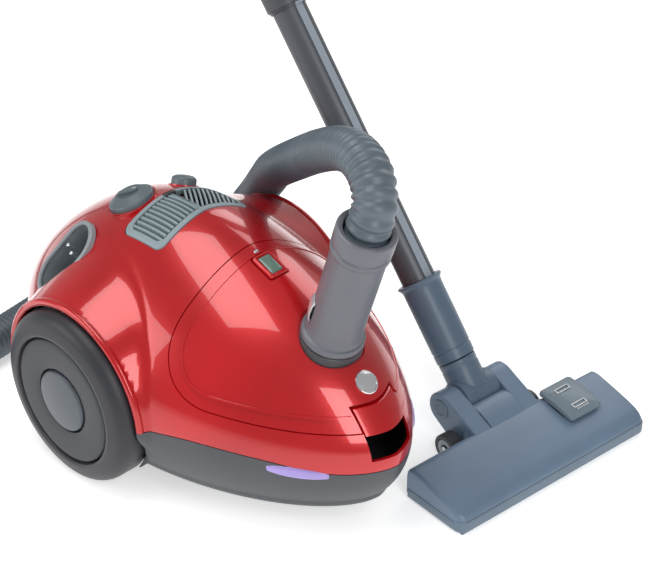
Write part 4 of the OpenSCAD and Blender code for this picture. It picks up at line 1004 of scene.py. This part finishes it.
# ---------------------------------------------------------------- wand
# Two drawn tubes, plugged into each other through flared sockets and ringed by a joint collar; each
# has a shallow groove along its upper side, painted pale as a highlight. The lower one sits in the floor head's
# sleeve.
wand_look = finish_of("wand_tube_satin", (0.072, 0.078, 0.090), 0.36, grain=1500, bump=0.00004, spread=0.06,
                      metal=0.2)
# a pale satin: a painted highlight along each tube's groove, and also the joint button's own colour
groove_highlight_and_button_look = finish_of("wand_groove_highlight_and_button_satin", (0.33, 0.38, 0.44), 0.30, grain=1500, bump=0.00003, spread=0.05,
                        metal=0.3)
ALONG_WAND = Matrix.Translation(PIVOT) @ Matrix.Rotation(-WAND_LEAN, 4, "Y")


def wand_tube(name, node, low, high, ends):
    """A tube between two places on the wand's axis with a shallow groove on its upper side, painted pale as a
    highlight.
    """
    stations = sorted(set([low, high] + [z for z, _ in ends]))
    n = 96
    verts, faces = [], []
    profile = []
    for z in stations:
        r = next((q for w, q in ends if abs(w - z) < 1e-6), 15.5)
        profile.append((z, r))
    rings = [(z, r, False) for z, r in profile] + [(z, 13.9, True) for z, r in reversed([profile[0], profile[-1]])]
    for z, r, hollow in rings:
        for k in range(n):
            a = 2 * math.pi * k / n
            dip = 0.0 if hollow else 0.45 * max(0.0, min(1.0, (math.cos(a) - 0.955) / 0.02))
            verts.append(at(*(ALONG_WAND @ Vector(((r - dip) * math.cos(a), (r - dip) * math.sin(a), z)))))
    m = len(rings)
    for j in range(m):
        for k in range(n):
            faces.append((j * n + k, j * n + (k + 1) % n, ((j + 1) % m) * n + (k + 1) % n, ((j + 1) % m) * n + k))
    tube = piece(name, verts, faces, wand_look, smooth=30)
    tube.data.materials.append(groove_highlight_and_button_look)
    # the groove's faces take the pale satin as a painted highlight
    for poly in tube.data.polygons:
        j, k = divmod(poly.index, n)
        a = 2 * math.pi * (k + 0.5) / n
        if j < len(profile) - 1 and math.cos(a) > 0.962:
            poly.material_index = 1
    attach(tube, "chassis")
    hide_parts(node)


wand_tube("wand_lower_tube", "wand_lower", 64.4, 410, [(64.4, 15.4), (410, 15.5)])
wand_tube("wand_upper_tube", "wand_upper", 370, 660,
          [(370, 16.6), (370.8, 17.3), (414, 17.3), (416, 16.4), (417, 15.6), (660, 15.5)])
collar_look = finish_of("wand_collar_plastic", (0.055, 0.060, 0.070), 0.42, grain=1500, bump=0.00008)
collar = turned("wand_joint_collar", [(17.35, 372), (18.6, 372.4), (19.0, 374), (19.0, 392), (18.6, 394), (17.9,
        395), (17.35, 395)],
                ALONG_WAND, collar_look, 80)
key = prism("wand_joint_button", round_box(-3.5, 3.5, -7, 7, 3), 17.5, 19.9,
            ALONG_WAND @ Matrix.Translation((0, 0, 383)) @ Matrix.Rotation(math.radians(90), 4, "Y"))
key.data.materials.append(groove_highlight_and_button_look)
for part in (collar, key):
    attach(part, "chassis")

# ---------------------------------------------------------------- handle and air slider
# A curved grey grip pushed over the upper tube. Its lower end takes the hose in a round cuff, and a
# sliding sleeve over a slot in the grip lets air in to ease the suction.
handle_look = finish_of("handle_plastic", (0.090, 0.096, 0.108), 0.42, grain=1300, bump=0.00010, spread=0.07)
bend_path = [bend_centre + 90 * Vector((math.cos(WAND_LEAN + t), 0, math.sin(WAND_LEAN + t)))
             for t in np.linspace(0, math.radians(85), 60)]
neck_points = [bend_start + wand_line * d for d in np.linspace(-40, -0.8, 26)]
tail_points = [grip_start + grip_line * d for d in np.linspace(1.2, 120, 70)]
spine_path = np.array([list(p) for p in neck_points + bend_path + tail_points])
spine_run = np.concatenate([[0], np.cumsum(np.linalg.norm(np.diff(spine_path, axis=0), axis=1))])
full = spine_run[-1]
grip_at = full - 120
thick_at = np.interp(spine_run, [0, 0.7, 2, 38, 41, 46, 60, grip_at - 6, grip_at + 8, grip_at + 70, grip_at + 76,
                                 grip_at + 79,
                                 grip_at + 82, grip_at + 106, grip_at + 108, grip_at + 111, grip_at + 113, full - 1.5, full],
                     [17.2, 17.8, 17.95, 17.95, 17.8, 17.2, 17.0, 17.0, 17.05, 17.1, 17.6, 20.6, 21.4, 21.4, 20.9,
                      20.9, 21.5,
                      21.5, 20.6])
verts, faces = swept(spine_path, thick_at, 64)
grip = piece("handle_grip", [at(*v) for v in verts], faces, handle_look, smooth=40)
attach(grip, "chassis")
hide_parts("handle")
slide_look = finish_of("slider_plastic", (0.26, 0.30, 0.35), 0.40, grain=1500, bump=0.00006)
ALONG_GRIP = Matrix.Translation(grip_start) @ Matrix.Rotation(-GRIP_LEAN, 4, "Y")
verts, faces = [], []
heights = [(14, 0.0), (14.6, 1.0), (18, 1.5)] + [(18 + 1.0 * k, 1.6 + (0.7 if k % 4 < 2 else 0)) for k in range(1,
        18)]
heights += [(36, 1.5), (39.4, 1.0), (40, 0.0)]
angles = np.linspace(-27, 27, 19)
for z, out_by in heights:
    for a in angles:
        fall = 1.0 if abs(a) < 25 else 0.3
        verts.append(at(*(ALONG_GRIP @ Vector(((17.5 + out_by * fall) * math.cos(math.radians(a)),
                                               (17.5 + out_by * fall) * math.sin(math.radians(a)), z)))))
for j in range(len(heights) - 1):
    faces += [(j * 19 + k, j * 19 + k + 1, j * 19 + k + 20, j * 19 + k + 19) for k in range(18)]
slider = piece("air_slider_sleeve", verts, faces, slide_look, smooth=40)
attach(slider, "slider")
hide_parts("air_slider")

# ---------------------------------------------------------------- floor head: neck sleeve and elbow
# The wand plugs into a blue-grey sleeve with a flared lip. The sleeve turns on a spigot of the elbow,
# and the elbow's barrel rocks between the two cheeks of the floor head on moulded trunnions.
neck_look = finish_of("neck_plastic", (0.090, 0.134, 0.188), 0.38, grain=1500, bump=0.00007, spread=0.06)
sleeve_rows = [(15.6, 109.6), (15.6, 64.5), (13.6, 64.5), (13.6, 46), (11.1, 46), (11.1, 34.4), (17.0, 34.4),
               (17.6, 35.0), (17.7, 43),
               (17.2, 43.6), (17.2, 44.6), (17.8, 45.2), (17.95, 70), (18.0, 102), (18.2, 104.4), (19.2,
                       106.4), (20.3, 107.6), (20.6, 108.6),
               (20.3, 109.6), (19.2, 110.0), (16.6, 110.0), (15.6, 109.6)]
neck = turned_ring("neck_sleeve_tube", sleeve_rows, ALONG_WAND, neck_look, 96)
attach(neck, "chassis")
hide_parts("neck_sleeve")
HEAD = Matrix.Translation((160, 158, 0)) @ Matrix.Rotation(math.radians(-5.2), 4, "Z")
BARREL = HEAD @ Matrix.Translation((0, 0, 36)) @ Matrix.Rotation(math.radians(-90), 4, "X")
barrel = turned("elbow_barrel", [(0, -19), (15.4, -19), (16.6, -18.4), (17.0, -17.2), (17.0, -9.4), (16.6, -9.0),
                                 (16.6, -8.2), (17.0, -7.8),
                                 (17.0, 7.8), (16.6, 8.2), (16.6, 9.0), (17.0, 9.4), (17.0, 17.2), (16.6,
                                         18.4), (15.4, 19), (0, 19)],
                BARREL, neck_look, 96)
stem = turned("elbow_stem", [(0, 4), (16.9, 4), (17.0, 14), (17.0, 26), (16.6, 27), (16.6, 28), (17.0, 29), (17.0,
        33), (16.6, 33.4), (11, 33.4),
                             (11, 44), (0, 44)], ALONG_WAND, neck_look, 96)
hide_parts("neck_elbow")
for part in (barrel, stem):
    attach(part, "neck")

# ---------------------------------------------------------------- floor head: cover, sole and cheeks
# A long low blue-grey cover clips over the sole plate. Its top is a shallow dome that falls to a
# darker bumper along the front; two cheeks at the rear carry the elbow and the rollers.
cover_look = finish_of("head_cover_plastic", (0.132, 0.192, 0.275), 0.36, grain=1500, bump=0.00007, spread=0.06)
bumper_look = finish_of("head_bumper_plastic", (0.120, 0.170, 0.225), 0.42, grain=1300, bump=0.00009, spread=0.06)
sole_look = finish_of("head_sole_plastic", (0.105, 0.140, 0.175), 0.45, grain=1300, bump=0.0001, spread=0.08)
REAR, FRONT, ENDS = 38.0, 106.0, 111.0


def loft_v(name, profile_at, stations, look, smooth=38):
    """A closed form along the head's length, one profile of equal count at each station."""
    rings = [[at(*(HEAD @ Vector((u, v, z)))) for u, z in profile_at(v)] for v in stations]
    n = len(rings[0])
    faces = [(j * n + k, j * n + (k + 1) % n, (j + 1) * n + (k + 1) % n, (j + 1) * n + k)
             for j in range(len(rings) - 1) for k in range(n)]
    faces += [tuple(range(n)), tuple((len(rings) - 1) * n + k for k in range(n))]
    return piece(name, [v for ring in rings for v in ring], faces, look, smooth=smooth)


def cover_profile(v):
    over = max(0.0, abs(v) - (ENDS - 8))
    front = FRONT - 1.2 - (8 - math.sqrt(max(0.0, 64 - over * over)))
    end = max(0.0, abs(v) - (ENDS - 3.2)) / 3.2
    top = 33.0 - 3.0 * (1 - math.sqrt(max(0.0, 1 - end * end))) - 0.9 * (v / ENDS) ** 2
    return [(REAR, 6.6), (REAR, top - 5.0), (REAR + 0.5, top - 2.6), (REAR + 2.0, top - 0.8), (REAR + 4.4, top),
            (REAR + 9, top + 0.15),
            (60, top - 2.6), (72, top - 5.4), (84, top - 8.4), (min(92, front - 6), top - 11.0), (front - 4.0,
                    top - 13.6),
            (front - 1.2, top - 16.6), (front, top - 19.4), (front, 6.6)]


ends_v = [ENDS - 3.2 * (1 - math.cos(a)) for a in np.linspace(0, math.pi / 2, 6)]
ends_v += [ENDS - 3.2 - 4.8 * k / 5 for k in range(1, 6)]
stations = sorted([-e for e in ends_v] + ends_v + list(np.linspace(-100, 100, 61)))
cover = loft_v("head_cover_shell", cover_profile, stations, cover_look)
carve(cover, prism("pedal_space", round_box(36.5, 80.5, 42.2, 81.8, 2.5), 27.5, 60, HEAD))
cover.data.shade_smooth()
cover.data.set_sharp_from_angle(angle=math.radians(38))
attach(cover, "head")
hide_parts("head_cover")


def bumper_profile(v):
    over = max(0.0, abs(v) - (ENDS - 8.2))
    front = FRONT - (8.2 - math.sqrt(max(0.0, 8.2 ** 2 - over * over)))
    return [(front - 7, 2.4), (front - 1.0, 2.4), (front - 0.2, 3.2), (front, 4.6), (front, 11.6), (front - 0.3,
            12.8), (front - 1.1, 13.4),
            (front - 7, 13.6)]


bumper = loft_v("head_bumper", bumper_profile, [v for v in stations if abs(v) < ENDS - 0.05], bumper_look)
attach(bumper, "head")
for s, name in ((-1, "near"), (1, "far")):
    layer = prism("head_end_layer_" + name, round_box(REAR + 1, FRONT - 9, s * 110.2 - 1.4, s * 110.2 + 1.4, 1.2),
                  2.6, 11.4, HEAD)
    layer.data.materials.append(bumper_look)
    soft = layer.modifiers.new("edge", "BEVEL")
    soft.width, soft.segments = 0.0006, 2
    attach(layer, "head")


def hull_outline(circles, extra=()):
    """The convex outline round a few circles and points."""
    cloud = [(cx + r * math.cos(a), cz + r * math.sin(a)) for cx, cz, r in circles
             for a in np.linspace(0, 2 * math.pi, 64, endpoint=False)] + list(extra)
    cloud = sorted(set(cloud))
    def half(points):
        chain = []
        for p in points:
            while len(chain) > 1 and ((chain[-1][0] - chain[-2][0]) * (p[1] - chain[-2][1])
                                      - (chain[-1][1] - chain[-2][1]) * (p[0] - chain[-2][0])) <= 0:
                chain.pop()
            chain.append(p)
        return chain
    return half(cloud)[:-1] + half(cloud[::-1])[:-1]


ON_SIDE = HEAD @ FLANK
# a solid saddle behind the barrel closes the gap between the cheeks down to the cover
saddle_edge = [(17.9 * math.cos(a), 36 + 17.9 * math.sin(a)) for a in np.radians(np.linspace(-80, 14, 24))]
saddle_edge += [(22, 41.5), (30, 40.2), (38, 37.0), (46, 32.6), (50, 30.5), (50, 26), (39.5, 9), (20, 9)]
saddle = prism("head_saddle", saddle_edge, -19.6, 19.6, ON_SIDE)
saddle.data.materials.append(cover_look)
saddle.data.shade_smooth()
saddle.data.set_sharp_from_angle(angle=math.radians(30))
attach(saddle, "head")
for s, name in ((-1, "near"), (1, "far")):
    low, high = sorted((-s * 19.7, -s * 38))
    cheek = prism("head_cheek_" + name, hull_outline([(0, 36, 15), (22, 13, 6)], [(39.5, 9), (50, 26), (50,
            30.6)]), low, high, ON_SIDE)
    cheek.data.materials.append(cover_look)
    cheek.data.shade_smooth()
    cheek.data.set_sharp_from_angle(angle=math.radians(30))
    soft = cheek.modifiers.new("edge", "BEVEL")
    soft.width, soft.segments, soft.limit_method = 0.0012, 3, "ANGLE"
    inner_disc = turned("trunnion_cap_" + name, [(0, 0), (9, 0), (9, 0.9), (8.2, 1.4), (5.5, 1.4), (5.0, 0.8), (0,
            0.8)],
                        BARREL @ Matrix.Translation((0, 0, s * 37.8)) @ Matrix.Rotation(0 if s > 0 else math.pi,
                                4, "X"), bumper_look, 48)
    # a curved gusset sweeps from each cheek out into the cover's rear edge
    gusset = []
    for a in np.linspace(0, math.pi / 2, 12):
        gusset.append((REAR + 1.0 - 15 * (1 - math.sin(a)), 37 + 15 * (1 - math.cos(a))))
    web = prism("head_gusset_" + name, [(u, s * v) for u, v in gusset] + [(REAR + 2, s * 52), (REAR + 2, s * 37)],
                9, 29, HEAD)
    web.data.materials.append(bumper_look)
    for part in (cheek, inner_disc, web):
        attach(part, "head")

# ---------------------------------------------------------------- floor head: rollers, pedal, bristles
# Two free rollers on one steel pin carry the rear edge. The toe pedal lowers the brush; it carries a
# generic brush mark at each end. Nylon bristles are stapled along the suction slot.
roller_look = finish_of("roller_rubber", (0.045, 0.047, 0.054), 0.5, grain=1400, bump=0.0001)
hub_look = finish_of("roller_hub_plastic", (0.32, 0.36, 0.40), 0.4, grain=1500, bump=0.00005)
for s, name in ((-1, "near"), (1, "far")):
    ROLLER = HEAD @ Matrix.Translation((22, s * 47, 13)) @ Matrix.Rotation(math.radians(-90 * s), 4, "X")
    roll = turned("head_roller_" + name, [(2.6, -6), (12, -6), (12.8, -5.4), (13, -4.4), (13, 4.4), (12.8, 5.4),
                                          (12, 6), (9.2, 6), (8.9, 5.4),
                                          (2.6, 5.4), (2.6, -6)], ROLLER, roller_look, 64)
    ring = turned("head_roller_ring_" + name, [(4.4, 5.2), (8.4, 5.2), (8.4, 5.9), (7.8, 6.2), (5.0, 6.2), (4.4,
            5.8), (4.4, 5.2)], ROLLER, hub_look, 48)
    for part in (roll, ring):
        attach(part, "rollers")
    if s < 0:
        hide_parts("head_rollers")
pedal_look = finish_of("pedal_plastic", (0.150, 0.200, 0.240), 0.36, grain=1500, bump=0.00006, spread=0.06)
PEDAL = HEAD @ Matrix.Translation((37, 62, 34.5)) @ Matrix.Rotation(math.radians(9), 4, "Y")
rows = []
for inset, z in ((0.6, 0.0), (0.0, 0.6), (0.0, 4.2), (0.5, 5.2), (1.4, 5.7)):
    rows.append([PEDAL @ Vector((x, y, z - 1.6 * abs(x / 21 - 1) ** 2 * (z > 1))) for x, y in
                 fine_box(inset, 42 - inset, -19 + inset, 19 - inset, max(0.8, 3.5 - inset))])
while len({len(r) for r in rows}) > 1:
    short = min(len(r) for r in rows)
    rows = [[r[int(k * len(r) / short)] for k in range(short)] for r in rows]
n = len(rows[0])
middle = [sum(rows[-1], Vector()) / n + Vector((0, 0, 0.5))]
pedal = piece("head_pedal_plate", [at(*p) for r in rows for p in r] + [at(*middle[0])],
              [(j * n + k, j * n + (k + 1) % n, (j + 1) * n + (k + 1) % n,
                (j + 1) * n + k) for j in range(4) for k in range(n)]
              + [tuple(range(n))] + [(4 * n + k, 4 * n + (k + 1) % n,
                                      5 * n) for k in range(n)], pedal_look, smooth=35)
stalk = prism("head_pedal_stalk", round_box(50, 58, 56, 68, 1.5), 21.5, 36, HEAD)
stalk.data.materials.append(pedal_look)
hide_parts("head_pedal")
for part in (pedal, stalk):
    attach(part, "pedal")
icon_look = finish_of("pedal_mark_paint", (0.72, 0.74, 0.75), 0.5, grain=1500, bump=0.00002, spread=0.04)
for x, bristly, name in ((10.5, False, "rear"), (31.5, True, "front")):
    lift = PEDAL @ Matrix.Translation((x, 0, 5.62 - 1.6 * abs(x / 21 - 1) ** 2 * 0 - 0.1))
    bars = [(-2.6, -1.6, -8, 8), (-1.6, 2.6, -8, -7), (-1.6, 2.6, 7, 8), (1.6, 2.6, -7, 7)]
    if bristly:
        bars += [(3.4, 5.6, y - 0.35, y + 0.35) for y in (-6, -3.6, -1.2, 1.2, 3.6, 6)]
    verts, faces = [], []
    for x0, x1, y0, y1 in bars:
        base = len(verts)
        verts += [at(*(lift @ Vector(q))) for z in (-0.4, 0.18) for q in ((x0, y0, z), (x1, y0, z), (x1, y1, z),
                (x0, y1, z))]
        faces += [(base, base + 3, base + 2, base + 1), (base + 4, base + 5, base + 6, base + 7)]
        faces += [(base + k, base + (k + 1) % 4, base + 4 + (k + 1) % 4, base + 4 + k) for k in range(4)]
    icon = piece("pedal_mark_" + name, verts, faces, icon_look, smooth=None)
    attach(icon, "pedal")
bristle_look = finish_of("bristle_nylon", (0.030, 0.030, 0.034), 0.45, grain=900, bump=0.00005)
tree, keys = nodes_for("bristle_row", [("Tufts", "NodeSocketInt", 110), ("Pitch", "NodeSocketFloat", 0.0015),
                                       ("Height", "NodeSocketFloat", 0.0078), ("Radius", "NodeSocketFloat", 0.0006),
                                       ("Seed", "NodeSocketInt", 7), ("Finish", "NodeSocketMaterial", None)])
nodes, links = tree.nodes, tree.links
given = nodes.new("NodeGroupInput")
row = nodes.new("GeometryNodeMeshLine")
step = nodes.new("ShaderNodeCombineXYZ")
tuft = nodes.new("GeometryNodeMeshCone")
tuft.inputs["Vertices"].default_value = 5
splay = nodes.new("FunctionNodeRandomValue")
splay.data_type = "FLOAT_VECTOR"
splay.inputs[0].default_value = (-0.13, -0.13, 0)
splay.inputs[1].default_value = (0.13, 0.13, 6.2)
spread = nodes.new("GeometryNodeInstanceOnPoints")
real = nodes.new("GeometryNodeRealizeInstances")
paint = nodes.new("GeometryNodeSetMaterial")
out = nodes.new("NodeGroupOutput")
links.new(given.outputs["Tufts"], row.inputs["Count"])
links.new(given.outputs["Pitch"], step.inputs["Y"])
links.new(step.outputs["Vector"], row.inputs["Offset"])
links.new(given.outputs["Height"], tuft.inputs["Depth"])
links.new(given.outputs["Radius"], tuft.inputs["Radius Bottom"])
links.new(given.outputs["Seed"], splay.inputs["Seed"])
links.new(row.outputs["Mesh"], spread.inputs["Points"])
links.new(tuft.outputs["Mesh"], spread.inputs["Instance"])
links.new(splay.outputs[0], spread.inputs["Rotation"])
links.new(spread.outputs["Instances"], real.inputs["Geometry"])
links.new(real.outputs["Geometry"], paint.inputs["Geometry"])
links.new(given.outputs["Finish"], paint.inputs["Material"])
links.new(paint.outputs["Geometry"], out.inputs["Geometry"])
for number, u in enumerate((62.5, 73.5)):
    brush = baked(f"bristles_{number + 1}", tree, {keys["Tufts"]: 106, keys["Pitch"]: 0.0015, keys["Height"]: 0.0072,
                                                   keys["Radius"]: 0.0006, keys["Seed"]: 7 + number, keys["Finish"]: bristle_look})
    for v in brush.data.vertices:
        v.co = at(*(HEAD @ Vector((u + v.co.x * 1000, -79 + v.co.y * 1000, 8.0 - v.co.z * 1000))))
    brush.data.flip_normals()
    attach(brush, "head")

# ---------------------------------------------------------------- parts inside, and small steel parts
# What the shells hide or nearly hide keeps its CAD shape: turned steel pins and axles, the spun
# aluminium motor, the moulded reel with its wound cord, the paper bag on its card, and the filters.
steel_look = finish_of("turned_steel", (0.56, 0.57, 0.58), 0.26, grain=1600, bump=0.00002, metal=1.0, spread=0.06)
finishes = {
    "turned_steel": ("lid_hinge_pin latch_pin rear_axles caster_axle head_pins rewind_spring base_screws",
                     steel_look),
    "inner_frame": ("lid_hinge_arms hinge_bracket bulkhead reel_spindle dial_switch caster_fork",
                    finish_of("inner_frame_plastic", (0.050, 0.052, 0.058), 0.5, grain=1300, bump=0.0001)),
    "seal": ("inlet_seal motor_mounts", lip_look),
    "felt": ("exhaust_filter motor_filter", felt_look),
    "reel": ("cord_reel", finish_of("reel_plastic", (0.72, 0.72, 0.69), 0.4, grain=1300, bump=0.00008)),
    "cord": ("wound_cord", plug_look),
    "can": ("motor_housing", finish_of("motor_can_metal", (0.55, 0.57, 0.60), 0.3, grain=1500, bump=0.00003,
                                       metal=1.0)),
    "rotor": ("motor_rotor", finish_of("rotor_copper", (0.60, 0.34, 0.14), 0.35, grain=900, bump=0.0002,
                                       metal=0.9, spread=0.3)),
    "paper": ("dust_bag", finish_of("bag_paper", (0.58, 0.50, 0.36), 0.85, grain=260, bump=0.0012, spread=0.12,
                                    blotch=30)),
    "card": ("bag_collar", finish_of("collar_card", (0.42, 0.31, 0.17), 0.8, grain=600, bump=0.0004, spread=0.15)),
    "caster": ("caster_wheel", roller_look),
    "sole": ("head_sole", sole_look),
}
for nodes_here, look in finishes.values():
    for node_name in nodes_here.split():
        mesh = bpy.data.objects[node_name].data
        mesh.materials.clear()
        mesh.materials.append(look)
